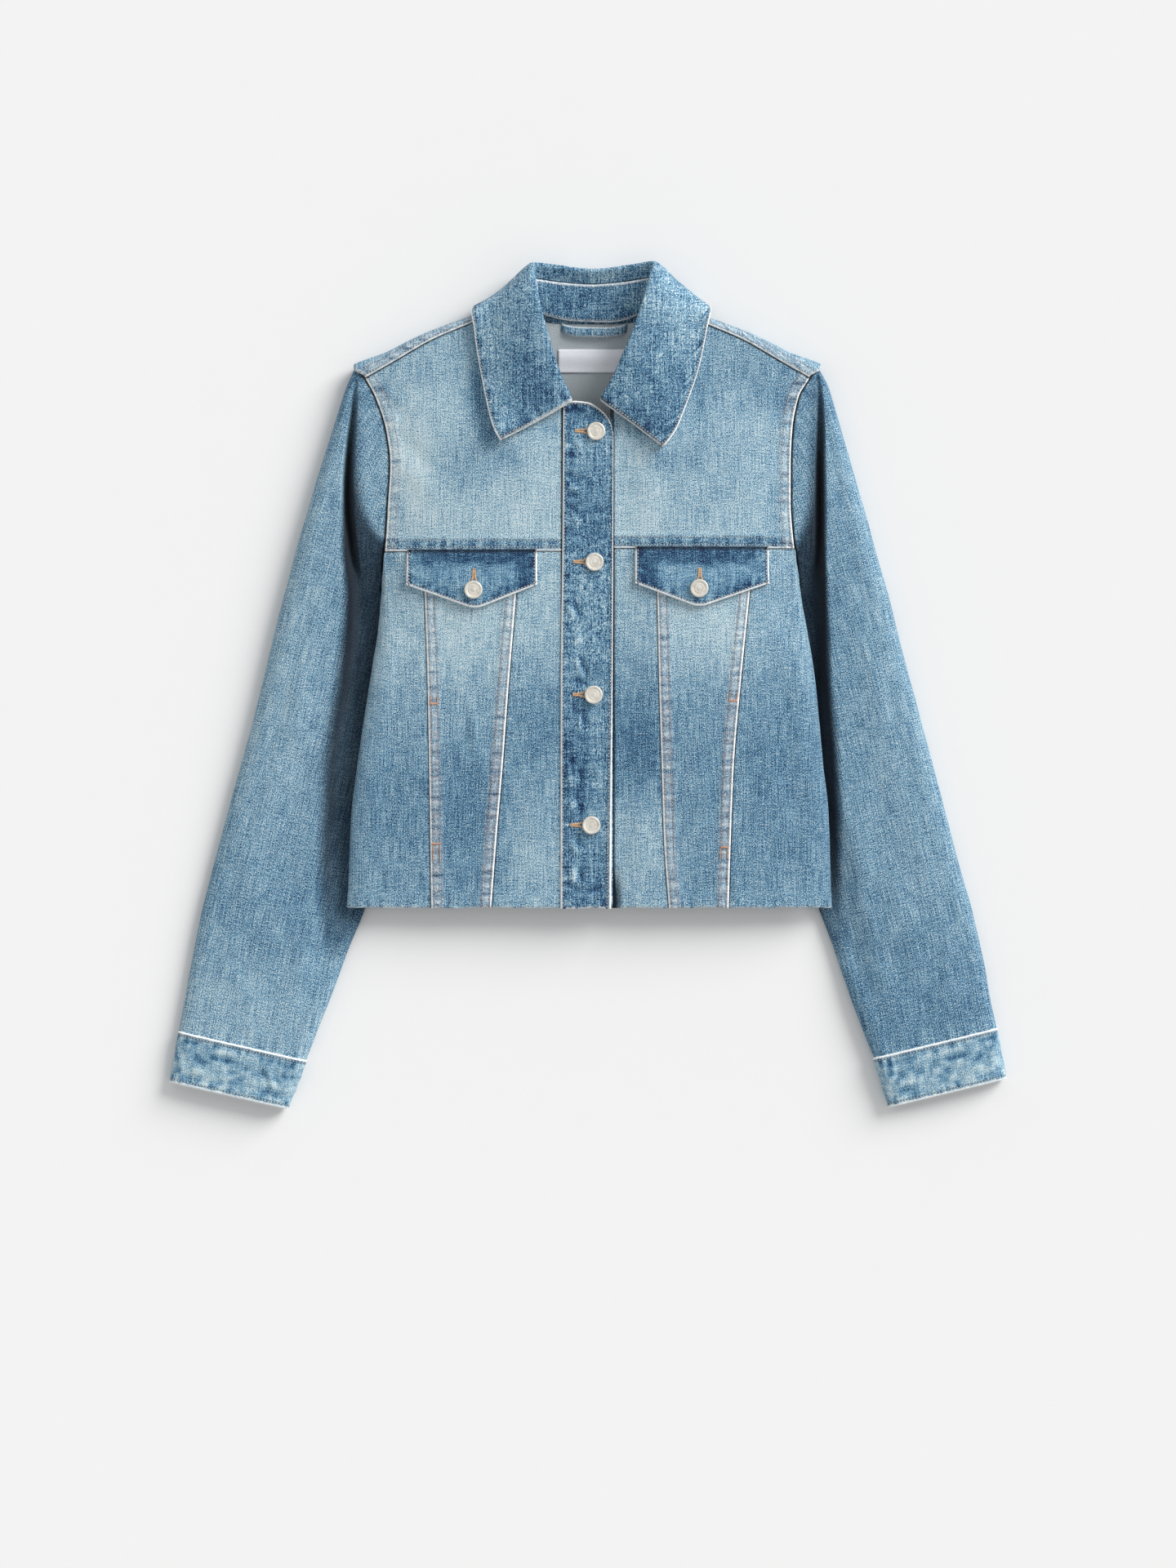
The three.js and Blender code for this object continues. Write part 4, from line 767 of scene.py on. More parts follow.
for name, half in fronts.items():
    low = YOKE_SEAM_Y + half.seam_step
    v, u = graded(170, coarse=2.2), graded(150, coarse=2.2)
    neck = NECKLINE.left if half.side < 0 else NECKLINE.right
    neck_x = float(neck(NECK_END_Y))
    outer_top = SHOULDER_TIP_Y + SHOULDER_TURN_IN
    inner_top = float(SHOULDER.seam(neck_x)) + SHOULDER_TURN_IN
    left_y, right_y = mix(low, outer_top, v), mix(low, inner_top, v)
    beside_placket = right_y < NECKLINE_Y
    inner_x = np.where(beside_placket, PLACKET_HALF + PLACKET_CLEAR, neck(right_y))
    inner_x = inner_x - LAP * (1 - ease((right_y - NECKLINE_Y) / 10))
    left = np.stack([edge_at(half.side, left_y), left_y], -1)
    right = np.stack([inner_x, right_y], -1)
    top_x = mix(left[-1, 0], right[-1, 0], u)
    top = np.stack([top_x, SHOULDER.seam(top_x) + SHOULDER_TURN_IN], -1)
    bottom = np.stack([mix(left[0, 0], right[0, 0], u), np.full(len(u), low)], -1)
    spread = stretched(bottom, top, left, right, u, v)
    yoke = front_piece(half.side * spread[..., 0], spread[..., 1])
    seeds = 100 if half.side < 0 else 150
    lapped(yoke, "bottom", seeds, rows=YOKE_ROWS, band=11.0, rope=0.3, white=1.3, deep=0.42)
    tucked(yoke, "right", seeds + 3, shade_strength=0.85)
    lapped(yoke, "left", seeds + 6, rows=ARMHOLE_ROWS, rope=0.3, deep=0.08, haze=0.22)
    tucked(yoke, "top", seeds + 9, shade_strength=0.9)
    made = make_cloth(f"front_yoke_{name}_cloth", yoke, DENIM_WALL, pale_denim, inside_denim)
    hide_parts(f"front_yoke_{name}")
    for row in YOKE_ROWS:
        front_stitches.append(place_stitches(yoke, "bottom", row, span=(3, -5)))
    for row in ARMHOLE_ROWS:
        front_stitches.append(place_stitches(yoke, "left", row, span=(2, -4)))
front_stitches += strip_stitches

# Front panels
# Below the yoke each front is three panels. The middle one laps over
# both its neighbours, so its two folded edges are worn white, with
# twin rows of dusty thread beside them; the hem is a narrow fold.

FRONT_SEAMS = table("y innerL outerL innerR outerR", [
    (-186, 80.2, 130.3, 67.6, 117.4), (-133, 76.2, 131.0, 63.6, 119.0),
    (-67, 70.6, 132.0, 61.4, 121.6), (0, 65.6, 133.2, 59.4, 127.2), (75, 59.5, 135.7, 57.7, 134.8),
    (112, 57.0, 137.0, 56.8, 138.4)])
PANEL_ROWS = (2.2, 8.2)  # twin stitches inside each edge of the middle panels
panel_stitches = []

for name, half in fronts.items():
    low = YOKE_SEAM_Y + half.seam_step + LAP
    seam_in = one_side(FRONT_SEAMS, "inner", half)
    seam_out = one_side(FRONT_SEAMS, "outer", half)
    y = mix(HEM_Y, low, graded(low - HEM_Y, coarse=2.2))[:, None]
    roll = RISE.roll(y)
    over_side = edge_at(half.side, y) - roll + roll * np.pi / 2 + RISE.tuck(y)
    bounds = {
        "side": (seam_out(y) - LAP, over_side, 84, 2.4),
        "middle": (seam_in(y), seam_out(y), 66, 2.4),
        "centre": (PLACKET_HALF + PLACKET_CLEAR - LAP + 0 * y, seam_in(y) + LAP, 42, 2.2)}
    for k, (part, (start, stop, wide, coarse)) in enumerate(bounds.items()):
        across = half.side * mix(start, stop, graded(wide, coarse=coarse)[None])
        rows = np.broadcast_to(y, across.shape)
        panel = front_piece(across, rows, grain_tilt=0.04 * half.side if part == "middle" else 0.0)
        seeds = 200 + 50 * k + (25 if half.side > 0 else 0)
        hemmed(panel, "bottom", seeds)
        tucked(panel, "top", seeds + 2, shade_strength=0.9)
        if part == "middle":
            for seam in ("left", "right"):
                lapped(panel, seam, seeds + len(seam), rows=PANEL_ROWS, wave=6.5, rope=0.26,
                       deep=0.12, haze=0.3)
            for seam in ("left", "right"):
                for row in PANEL_ROWS:
                    panel_stitches.append(place_stitches(panel, seam, row, span=(1, -18)))
        else:
            placket_shade = 1.7 if part == "centre" and half.side > 0 else 0.8
            tucked(panel, "left", seeds + 4, shade=placket_shade)
            if part == "centre":
                tucked(panel, "right", seeds + 7)
                # The placket's edge gapes near the hem: the centre panel sinks there and carries
                # painted shadow
                gape = hill(across - 24, 3.6) * ease((-146 - rows) / 30)
                panel.sink -= 2.0 * gape
                panel.ink += 0.8 * gape
            else:
                panel.lift += 0.25 * ripple(panel.along["right"], 30, seeds) * np.exp(
                    -(panel.near["right"] / 20) ** 2)
        made = make_cloth(f"front_{part}_{name}_cloth", panel, DENIM_WALL, body_denim, inside_denim)
        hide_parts(f"front_{part}_{name}")

sew("panel_stitching", panel_stitches, dusty_thread)

# Pocket flaps
# Each flap is two layers turned inside out and topstitched round its
# sides and its blunt point. Its top is caught in the yoke seam, and
# a button holds it down. The wash left its upper part deep blue.

FLAP_PROUD, FLAP_WALL = 2.4, 1.9
EDGE_ROW = 2.5  # the usual place of a row of stitches beside a turned edge
flap_denim = denim_finish("flap_denim", slub=1.0, fleck=3.0, blotch=0.7, cloud=0.4)
flap_shapes = {
    "right": SimpleNamespace(low=-150.8, high=-41.9, point=(-93.2, 62.8), side_y=83.2, step=0.0),
    "left": SimpleNamespace(low=39.4, high=151.0, point=(92.7, 64.3), side_y=84.4, step=SEAM_STEP)}
flap_stitches = []
flap_tops = {}


def turned_edge(piece, side, seed, row=EDGE_ROW, wave=7.5, rope=0.16, white=1.0, wide=1.0):
    """An edge sewn inside out and turned: a round worn roll with one row of stitches."""
    d, s = piece.near[side], piece.along[side]
    waves = ripple(s, wave, seed)
    strip = hill(d - 4.0, 5.0)
    piece.lift += 0.3 * hill(d - 1.0, 0.8) - 1.0 * (1 - np.clip(d / 1.1, 0, 1)) ** 2
    piece.lift += 0.2 * waves * strip
    piece.fade += (rope * ripple(s, wave * 1.2, seed + 1) - 0.1) * strip
    piece.seam += hill(d, 6.5)
    piece.wear += white * hill(np.clip(d - 0.5 * wide, 0, None), 0.7 * wide)
    stitch_dent(piece, d, row, shade_strength=0.8)


for name, flap in flap_shapes.items():
    u = graded(109, coarse=1.8)
    x = mix(flap.low, flap.high, u)[None]
    corner = np.where(x < flap.point[0], flap.low, flap.high)
    bottom = mix(flap.point[1], flap.side_y, (x - flap.point[0]) / (corner - flap.point[0]))
    bottom = bottom + 1.2 * hill(x - flap.point[0], 3.0)
    v = graded(44, coarse=1.6)[:, None]
    y = mix(bottom, 110.9 + flap.step + LAP - 0.5, v)
    x = np.broadcast_to(x, y.shape)
    piece = front_piece(x, y)
    piece.base[..., 2] += FLAP_PROUD
    piece.lift = 0.9 * hill(x - flap.point[0], 26) * ease((100 - y) / 20) + creases(x, y, [
        (flap.point[0] - 40, 74, flap.point[0] - 30, 106, 4, 0.5),
        (flap.point[0] + 22, 70, flap.point[0] + 30, 104, 4, 0.5),
        (flap.point[0] + 12, 66, flap.point[0] + 16, 92, 3, -0.4)])
    right = flap.point[0] < 0
    inward = (x - flap.point[0]) * (1 if right else -1)
    piece.fade = np.full(x.shape, 0.45)
    ragged = 2.0 * ripple(x, 21, 460) + 1.0 * ripple(x, 8, 461)
    piece.fade -= 0.44 * ease((y + ragged - 97) / 8) * ease((inward + 52) / 14)
    piece.fade -= 0.36 * ease((inward + ragged - 24) / 18) * ease((y - 72) / 16)
    piece.fade -= (0.15 if right else 0.3) * np.exp(-((inward - (30 if right else -36)) / 14) ** 2
                                                   - ((y - 80) / 8) ** 2)
    piece.fade = np.maximum(piece.fade, 0.06)
    piece.lift = piece.lift + 1.6 * ease((103 - y) / 22)
    seeds = 400 if right else 440
    turned_edge(piece, "bottom", seeds, rope=0.3, white=1.2, wide=1.4)
    turned_edge(piece, "left", seeds + 3, rope=0.2, white=1.2, wide=1.3)
    turned_edge(piece, "right", seeds + 6, rope=0.2, white=1.2, wide=1.3)
    tucked(piece, "top", seeds + 9, shade_strength=0.75, step=1.2)
    flap_tops[name] = finished(piece)
    made = make_cloth(f"pocket_flap_{name}_cloth", piece, FLAP_WALL, flap_denim, flap_denim)
    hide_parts(f"pocket_flap_{name}")
    for side in ("bottom", "left", "right"):
        flap_stitches.append(place_stitches(piece, side, EDGE_ROW, span=(EDGE_ROW, -EDGE_ROW)))

sew("flap_stitching", flap_stitches, pale_thread)

# Placket
# A double strip 42 mm wide runs down the front over the end of the
# other front and carries the buttons. Both its edges are rolled and
# worn white, and it is creased across from the fold of the washing.

PLACKET_WALL = 2.2
PLACKET_PROUD = 1.3
PLACKET_TOP = table("x y", [
    (-23.3, 230), (-21, 232), (-17, 235.4), (-12, 236.6), (0, 235.4), (11.9, 228.5), (18.7, 219.3),
    (21.4, 209)])
PLACKET_WASH = table("y fade", [
    (-186, 0.32), (-150, 0.34), (-120, 0.38), (-85, 0.22), (-55, 0.18), (-25, 0.38), (20, 0.46),
    (55, 0.46), (95, 0.41), (130, 0.31), (165, 0.35), (200, 0.44), (236, 0.12)])
PLACKET_CREASES = [
    (-7, 28, 1, 2, 2.0, -1.0), (-11, 26, -4, 4, 2.0, 0.8), (-17, 7, 3, -1, 1.9, -0.9),
    (-17, -14, -5, -26, 3.0, -0.8), (-5, -12, -1, -40, 1.9, -1.0), (-7, -20, -5, -44, 2.0, 0.9),
    (-18, -60, -7, -67, 2.0, -1.0), (-8, -64, -4, -84, 2.0, -1.0), (-4, -80, -11, -98, 2.0, -0.9),
    (-17, -70, -11, -86, 2.6, 1.0), (-9, -62, -8, -82, 1.6, 0.7), (-7, -94, -4, -111, 2.0, -0.9),
    (-13, -92, -12, -108, 2.4, 0.8), (-16, -126, -7, -142, 2.4, 1.0),
    (-10, -124, -3, -138, 2.0, -0.7), (-12, -148, -11, -168, 2.4, 1.0),
    (-20, -165, -4, -172, 2.2, -0.9), (-3, -172, 15, -167, 2.4, -0.8),
    (-6, -150, -5, -166, 2.0, -0.7), (-20, 176, -3, 170, 2.2, -0.9), (-19, 166, -6, 162, 2.2, 0.7),
    (-18, 160, -7, 156, 2.0, -0.9), (-16, 150, -8, 144, 2.2, -0.9), (-15, 140, -4, 134, 2.2, 0.7),
    (-12, 72, -5, 54, 2.0, -1.0), (-17, 70, -10, 52, 2.2, 0.9), (-9, 46, -8, 32, 2.2, 0.7),
    (-16, 234, -3, 226, 2.2, -0.9), (-5, 232, 5, 226, 2.0, 0.9), (-11, 207, -6, 196, 2.2, 0.8),
    (-16, 196, -10, 186, 2.4, -0.7), (2, 150, 14, 142, 3.0, -0.5), (4, 44, 15, 38, 3.0, -0.4),
    (4, -60, 12, -80, 3.4, 0.5)]


def strip_height(x, y):
    return front(-np.abs(x), y)[..., 2]


placket_denim = denim_finish("placket_denim", slub=1.3, weft=0.9, fleck=3.4, blotch=0.4, cloud=0.3)
strip_u = graded(43, fine=(0, 0.4, 0.9, 1.4, 1.9, 2.4, 3.0, 4.0, 5.4, 7.0), coarse=1.5)[None]
strip_v = graded(420, coarse=1.7)[:, None]
strip_bottom = HEM_Y - 0.6
lean = table("y left right", [
    (-186, -22.6, 19.6), (0, -22.4, 20.6), (120, -21.0, 21.2), (240, -20.4, 21.4)])
rough_y = mix(strip_bottom, 233, strip_v)
x = mix(lean.left(rough_y), lean.right(rough_y), strip_u)
y = mix(strip_bottom, PLACKET_TOP.y(x), strip_v)
placket = lay_out(np.stack([x, y, strip_height(x, y) + PLACKET_PROUD], -1))
placket.fade += PLACKET_WASH.fade(y) + 0.22 * ease((x + 4) / 10) * hill(y + 82, 50)
buckles = creases(x, y, PLACKET_CREASES)
placket.lift += 1.25 * buckles
# Darker in the troughs of the creases and paler on their ridges: partly wash marks, partly painted
# shade and painted light
placket.fade += 0.42 * buckles
turned_edge(placket, "left", 500, row=2.3, rope=0.3, white=1.3, wide=1.1)
placket.lift += 0.8 * hill(placket.near["right"], 5)
turned_edge(placket, "right", 504, row=3.6, rope=0.15, white=1.25, wide=1.6)
turned_edge(placket, "top", 508, row=2.8, rope=0.15, white=1.2, wide=1.4)
placket_top = finished(placket)
hemmed(placket, "bottom", 512, white=1.1, wave=6)
placket_strip = make_cloth("placket_right_cloth", placket, PLACKET_WALL, placket_denim,
                           placket_denim)
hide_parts("placket_right")
placket_stitches = [place_stitches(placket, "left", 2.3),
                    place_stitches(placket, "right", 3.6),
                    place_stitches(placket, "top", 2.8, span=(3, -3))]
sew("placket_stitching", placket_stitches, pale_thread)

under_x = np.linspace(-16, 20.9, 12)[None]
under_y = mix(HEM_Y + 0.8, mix(233, 222, (under_x + 16) / 37), np.linspace(0, 1, 120)[:, None])
under_x = np.broadcast_to(under_x, under_y.shape)
under_z = strip_height(under_x, under_y) + PLACKET_PROUD - PLACKET_WALL - 0.6
under = lay_out(np.stack([under_x, under_y, under_z], -1))
under.fade += 0.45
under_strip = make_cloth("placket_left_cloth", under, DENIM_WALL, body_denim, inside_denim)
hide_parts("placket_left")

# Sleeves
# Each sleeve is set in flat. Its upper face rolls over the free edge, drops into a deep crease that
# runs down from the shoulder tip, and its inner fold is tucked away under the side of the body.

SLEEVE_WIDTH = table("down outerL outerR innerL innerR", [
    (0, -1.0, -0.2, 0, 0), (17, -4.2, -4.2, 0, 0), (42, -6.2, -5.5, 0, 0), (98, -10.8, -8.0, 0, 0),
    (140, -13.4, -9.8, 0, 0), (155, -14.3, -10.0, 59, 56), (168, -14.7, -10.5, 61, 58.2),
    (176, -15.0, -10.9, 64.5, 60.6), (200, -15.9, -12.0, 77.5, 73.2), (225, -16.5, -12.0, 88.5, 84),
    (290, -17.4, -13.4, 104, 100.8), (370, -20.9, -15.3, 111, 109.2),
    (430, -23.2, -16.4, 108.4, 106.6), (470, -24.2, -18.0, 102.2, 102),
    (510, -23.1, -17.5, 97, 98.4), (545, -21.8, -15.3, 91.7, 94.2), (569.5, -20.6, -14.6, 88.2, 91),
    (612, -18.2, -12.2, 82, 87.8)])
SLEEVE_RISE = table("down crown valleyL valleyR half depth cap", [
    (0, 16.5, 1.2, 1.2, 1.5, 0, 16.5), (17, 17.6, 4.2, 4.6, 3, 2.5, 17.4),
    (42, 18.8, 8, 10, 4.5, 7, 18.2), (79, 19.8, 12.8, 19, 5.5, 10.5, 18.6),
    (110, 20.2, 19.5, 26.4, 6, 11, 18.4), (140, 20.4, 29.5, 34, 6, 9, 16.5),
    (155, 20.4, 34.5, 38, 6, 6, 13.5), (168, 20.4, 39, 41, 6, 2.6, 9.5),
    (186, 20.2, 44.2, 44.6, 6, 0.7, 7.6), (218, 20, 50.3, 49.4, 6.5, 0, 7),
    (290, 19, 56, 66, 8, 0, 7), (351, 17.6, 59, 74, 10, 0, 7), (430, 15.4, 76, 79, 15, 0, 7.4),
    (470, 14.8, 79, 81, 13, 0, 9), (510, 14.4, 75, 76, 9, 0, 12), (545, 14.2, 70, 71, 8, 0, 13.4),
    (569.5, 14, 67, 68, 7, 0, 13.6), (612, 12.6, 61.5, 63, 6.5, 0, 12.2)])
SLEEVE_ROLL = table("down outer inner", [
    (0, 2.4, 1), (42, 9, 2), (140, 15, 2), (176, 17, 3), (225, 18, 6), (415, 17, 7), (510, 15, 11),
    (612, 13, 13)])
UNDERARM, CUFF_SEAM = 168, 569.5
sleeves = {
    "right": SimpleNamespace(side=-1, tip=(-194.8, 261.1), along=(-0.222, -0.975), letter="L"),
    "left": SimpleNamespace(side=1, tip=(193.5, 263.2), along=(0.235, -0.972), letter="R")}


def sleeve_point(arm, down, across, height):
    ax, ay = arm.along
    x = arm.tip[0] + ax * down + arm.side * ay * across
    y = arm.tip[1] + ay * down - arm.side * ax * across
    return np.stack(np.broadcast_arrays(x, y, height), -1)


def armhole_at(arm, down):
    """How far across the sleeve the armhole seam lies."""
    across = 20.0
    for _ in range(14):
        point = sleeve_point(arm, down, across, 0.0)
        target = arm.side * (edge_at(arm.side, point[1]) + 0.4)
        across -= (point[0] - target) * -arm.side / abs(arm.along[1])
        across = min(max(across, 1), 90)
    return across


def arc_steps(count):
    return np.linspace(0, np.pi / 2, count + 1)


def sleeve_section(arm, down, proud=0.0, under=4, turn=10, top=64, inner_turn=8, inner_under=4):
    """Across and height of a section's points, from the free edge underneath to the inner edge."""
    sewn = down < UNDERARM
    outer = one_side(SLEEVE_WIDTH, "outer", arm)(down) - proud
    inner = armhole_at(arm, down) if sewn else one_side(SLEEVE_WIDTH, "inner", arm)(down)
    inner = inner + proud
    span = inner - outer
    roll = min(SLEEVE_ROLL.outer(down), span * 0.4)
    inner_roll = min(SLEEVE_ROLL.inner(down), span * 0.2)
    crown, cap = SLEEVE_RISE.crown(down) + 2 * proud, SLEEVE_RISE.cap(down) + 2 * proud
    shoulder, rim = crown - 1.2, crown * 0.42
    outer_turn = min(6, span * 0.3)
    a, b = arc_steps(under), arc_steps(turn)[1:]
    start, stop = outer + roll, inner - inner_roll
    half = min(SLEEVE_RISE.half(down), (stop - start) * 0.3)
    valley = one_side(SLEEVE_RISE, "valley", arm)(down)
    valley = min(max(valley, start + half * 1.2), stop - half * 1.2)
    lobe = int(top * 0.36)
    crossing = int(top * 0.34)
    rest = top - lobe - crossing
    x = np.concatenate([np.linspace(start, valley - half, lobe + 1)[1:],
                        np.linspace(valley - half, valley + half, crossing + 1)[1:],
                        np.linspace(valley + half, stop, rest + 1)[1:]])
    level = shoulder + 1.2 * ease((x - start) / 14)
    fall = ease((x - valley + half) / (2 * half))
    sink = 1.25 * SLEEVE_RISE.depth(down) * (1 - ease(np.abs(x - valley) / half))
    sink = np.minimum(sink, mix(level, cap, fall) - 2.6)
    inner_rim = cap - 0.4 if sewn else cap * 0.5
    inner_low = cap - 1.4 if sewn else 0
    tuck = 0.05 if sewn else min(6, inner_roll)
    c, d = arc_steps(inner_turn)[1:], arc_steps(inner_under)[1:]
    across = np.concatenate([outer + outer_turn * (1 - np.sin(a)), outer + roll * (1 - np.cos(b)),
                             x,
                             stop + inner_roll * np.sin(c), inner - tuck * (1 - np.cos(d))])
    height = np.concatenate([rim * (1 - np.cos(a)), rim + (shoulder - rim) * np.sin(b),
                             mix(level, cap,
                                 fall) - sink, inner_rim + (cap - inner_rim) * np.cos(c),
                             inner_rim - (inner_rim - inner_low) * np.sin(d)])
    height = height * (0.6 + 0.4 * ease((down + 3.6) / 9))
    return across, height, outer + outer_turn, inner - (0 if sewn else tuck)


# How pale the wash is down each sleeve, near its free edge and near the crease
SLEEVE_WASH = table("down outerL innerL outerR innerR", [
    (0, 0.34, 0.36, 0.34, 0.34), (40, 0.46, 0.50, 0.44, 0.46), (90, 0.58, 0.56, 0.54, 0.50),
    (140, 0.62, 0.50, 0.55, 0.46), (200, 0.63, 0.50, 0.55, 0.44), (260, 0.64, 0.52, 0.55, 0.46),
    (330, 0.62, 0.54, 0.55, 0.49), (400, 0.55, 0.47, 0.53, 0.50), (450, 0.47, 0.42, 0.51, 0.46),
    (500, 0.56, 0.52, 0.44, 0.40), (545, 0.68, 0.62, 0.38, 0.36), (570, 0.66, 0.62, 0.44, 0.44)])
# Painted shade in the hollow beside the body, where the body's edge and the sleeve's own lobe cast
# shadow: where it starts and stops across the sleeve, how soft its outer border is and how deep its
# colour
SLEEVE_PAINTED_SHADE = table("down startL stopL softL depthL startR stopR softR depthR", [
    (0, 0, 3, 3, 0, 0, 4, 3, 0.2), (37, 5, 9, 4, 0.6, 5, 11, 3, 0.6),
    (75, 9.7, 17, 4.5, 0.95, 14, 22, 3.5, 0.9), (112, 16, 32, 5, 1, 22.5, 34, 4, 1),
    (149, 24.5, 70, 6, 1, 31, 60, 4, 1), (185, 34.8, 99, 9, 1, 38, 99, 6, 1),
    (248, 43, 120, 13, 0.98, 51, 120, 8, 1), (310, 46.8, 130, 15, 0.92, 60, 130, 11, 1),
    (366, 55.4, 130, 15, 0.9, 71, 130, 10, 0.98), (408, 63, 130, 15, 0.8, 81, 130, 9, 0.9),
    (443, 72, 130, 15, 0.6, 88, 130, 9, 0.55), (490, 84, 130, 20, 0.0, 92, 130, 9, 0.0)])
# Soft folds on each sleeve, by distance across and down it
SLEEVE_CREASES = {
    "right": [(10, 240, 26, 330, 9, 1.0), (34, 300, 30, 400, 10, -1.0), (-6, 380, 20, 470, 12, 0.9),
              (40, 420, 30, 520, 10, 0.8), (0, 500, 44, 548, 8, 0.7), (60, 480, 40, 540, 8, -0.8),
              (4, 120, 2, 210, 8, 0.7), (20, 545, 50, 560, 5, 0.6), (50, 380, 60, 440, 8, 0.8)],
    "left": [(8, 220, 22, 320, 9, 1.0), (40, 290, 36, 400, 12, -0.9), (0, 360, 18, 450, 12, 0.8),
             (44, 410, 36, 500, 10, 0.9), (4, 510, 40, 552, 8, 0.7), (62, 470, 44, 540, 8, -0.8),
             (2, 110, 6, 200, 8, 0.7), (26, 545, 54, 558, 5, 0.6), (56, 370, 66, 430, 8, 0.8)]}
sleeve_denim = denim_finish("sleeve_denim", blotch=0.25, cloud=0.35)
cuff_end = CUFF_SEAM - np.array([10, 8.5, 7, 5.5, 4.2, 3.2, 2.4, 1.6, 0.9, 0.4, 0])
sleeve_rows = np.concatenate([
    np.linspace(-3.6, 60, 33)[:-1], np.linspace(60, 260, 78)[:-1], np.linspace(260, 540, 104)[:-1],
    np.linspace(540, CUFF_SEAM - 10, 10)[:-1], cuff_end])

for name, arm in sleeves.items():
    sections = [sleeve_section(arm, down) for down in sleeve_rows]
    across = np.stack([s[0] for s in sections])
    down = np.broadcast_to(sleeve_rows[:, None], across.shape)
    grid = sleeve_point(arm, down, across, np.stack([s[1] for s in sections]))
    sleeve = lay_out(grid)
    turn_up(sleeve, len(sleeve_rows) // 2, 40)
    girth = sleeve.along["bottom"]
    sleeve.grain = np.stack([girth, down, np.zeros_like(girth)], -1)
    height = grid[..., 2]
    valley = one_side(SLEEVE_RISE, "valley", arm)(down)
    inward = ease((across + 6) / np.maximum(valley, 12))
    sleeve.fade += mix(one_side(SLEEVE_WASH, "outer", arm)(down),
                       one_side(SLEEVE_WASH, "inner", arm)(down), inward)
    # Painted shade over the band beside the body, strongest just inside its outer border
    begin, stop, soft, depth = [one_side(SLEEVE_PAINTED_SHADE, key, arm)(down)
                                for key in ("start", "stop", "soft", "depth")]
    shade_band = ease((across - begin) / soft + 0.5) * (1 - ease((across - stop + 4) / 14))
    shade_core = hill(across - begin - 4, 9)
    sleeve.ink += depth * shade_band * (0.78 + 0.2 * shade_core)
    sleeve.fade -= 0.2 * depth * shade_band
    sleeve.lift += creases(across, down, SLEEVE_CREASES[name]) * ease((height - 6) / 6)
    seeds = 600 if arm.side < 0 else 650
    s = sleeve.along["right"]
    seam = sleeve.near["right"]
    sewn = ease((UNDERARM - 6 - down) / 10)
    # Painted shadow line beside the armhole seam, where the sleeve runs under the body
    sleeve.ink += 0.85 * hill(seam - 1.2, 0.9) * sewn
    sleeve.seam += 0.7 * hill(seam, 7) * sewn
    sleeve.fade += 0.16 * ripple(s, 9, seeds) * hill(seam, 8) * sewn
    sleeve.lift += 0.22 * ripple(s, 9, seeds + 1) * hill(seam, 7) * sewn
    tucked_end = sleeve.near["top"]
    sleeve.lift += 0.25 * ripple(girth, 9, seeds + 2) * hill(tucked_end, 9)
    sleeve.fade += 0.14 * ripple(girth, 10, seeds + 3) * hill(tucked_end, 12)
    # Painted shadow line where the sleeve's end runs under the cuff
    sleeve.ink += 0.7 * hill(tucked_end, 0.8)
    sleeve.seam += 0.9 * hill(tucked_end, 9)
    made = make_cloth(f"sleeve_top_{name}_cloth", sleeve, DENIM_WALL, sleeve_denim, inside_denim)
    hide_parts(f"sleeve_top_{name}")

    under_rows = np.linspace(6, CUFF_SEAM, 90)
    spans = [sleeve_section(arm, d)[2:] for d in under_rows]
    across = np.stack([np.linspace(a + 0.9, b - 0.9, 24) for a, b in spans])
    down = np.broadcast_to(under_rows[:, None], across.shape)
    flat_side = lay_out(sleeve_point(arm, down, across, 0.0 * across))
    flat_side.normal[...] = (0, 0, -1)
    flat_side.fade += 0.52
    flat_side.grain = np.stack([across, down, np.zeros_like(across)], -1)
    made = make_cloth(f"sleeve_under_{name}_cloth", flat_side, DENIM_WALL, sleeve_denim,
                      inside_denim)
    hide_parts(f"sleeve_under_{name}")

# Cuffs
# A cuff is a double band 42 mm deep that closes the end of the sleeve.
# It shrank more than its stitching in the wash, so it is puckered all
# round in short bright and dark ripples, with a rolled white edge.

CUFF_LENGTH, CUFF_PROUD, DOUBLE_WALL = 42.0, 0.8, 2.0
CUFF_ROWS = {"bottom": 3.0, "top": 3.2}  # one row of stitches inside each edge
cuff_denim = denim_finish("cuff_denim", slub=0.8, weft=0.6, fleck=2.8, blotch=1.0, cloud=0.4)
cuff_stitches = []
# Dark ridges that the wash left on each cuff, by distance round it from the outer edge and down it
CUFF_CREASES = [
    (36, 15, 66, 15.5, 2.0, -1.0), (56, 27, 80, 14.5, 2.2, -1.0), (80, 18, 94, 20.5, 3.0, -1.1),
    (95, 20, 118, 15.5, 2.2, -0.9), (80, 34, 112, 33, 3.4, -0.9), (64, 30, 74, 26, 2.4, -0.8),
    (20, 14, 44, 23, 2.2, -0.8), (48, 36, 58, 31, 3.2, -0.9), (12, 8, 34, 6, 2.2, -0.7),
    (26, 30, 44, 27, 2.4, 0.8), (60, 21, 76, 22, 2.2, 0.9), (88, 26, 108, 27, 2.4, 0.8),
    (40, 9, 70, 8, 2.4, 0.7), (14, 34, 34, 38, 2.6, -0.6), (96, 8, 116, 9, 2.4, -0.7)]
cuff_rows = CUFF_SEAM + 0.3 - 1.4 + mix(0, CUFF_LENGTH + 1.4, graded(43, coarse=1.7))

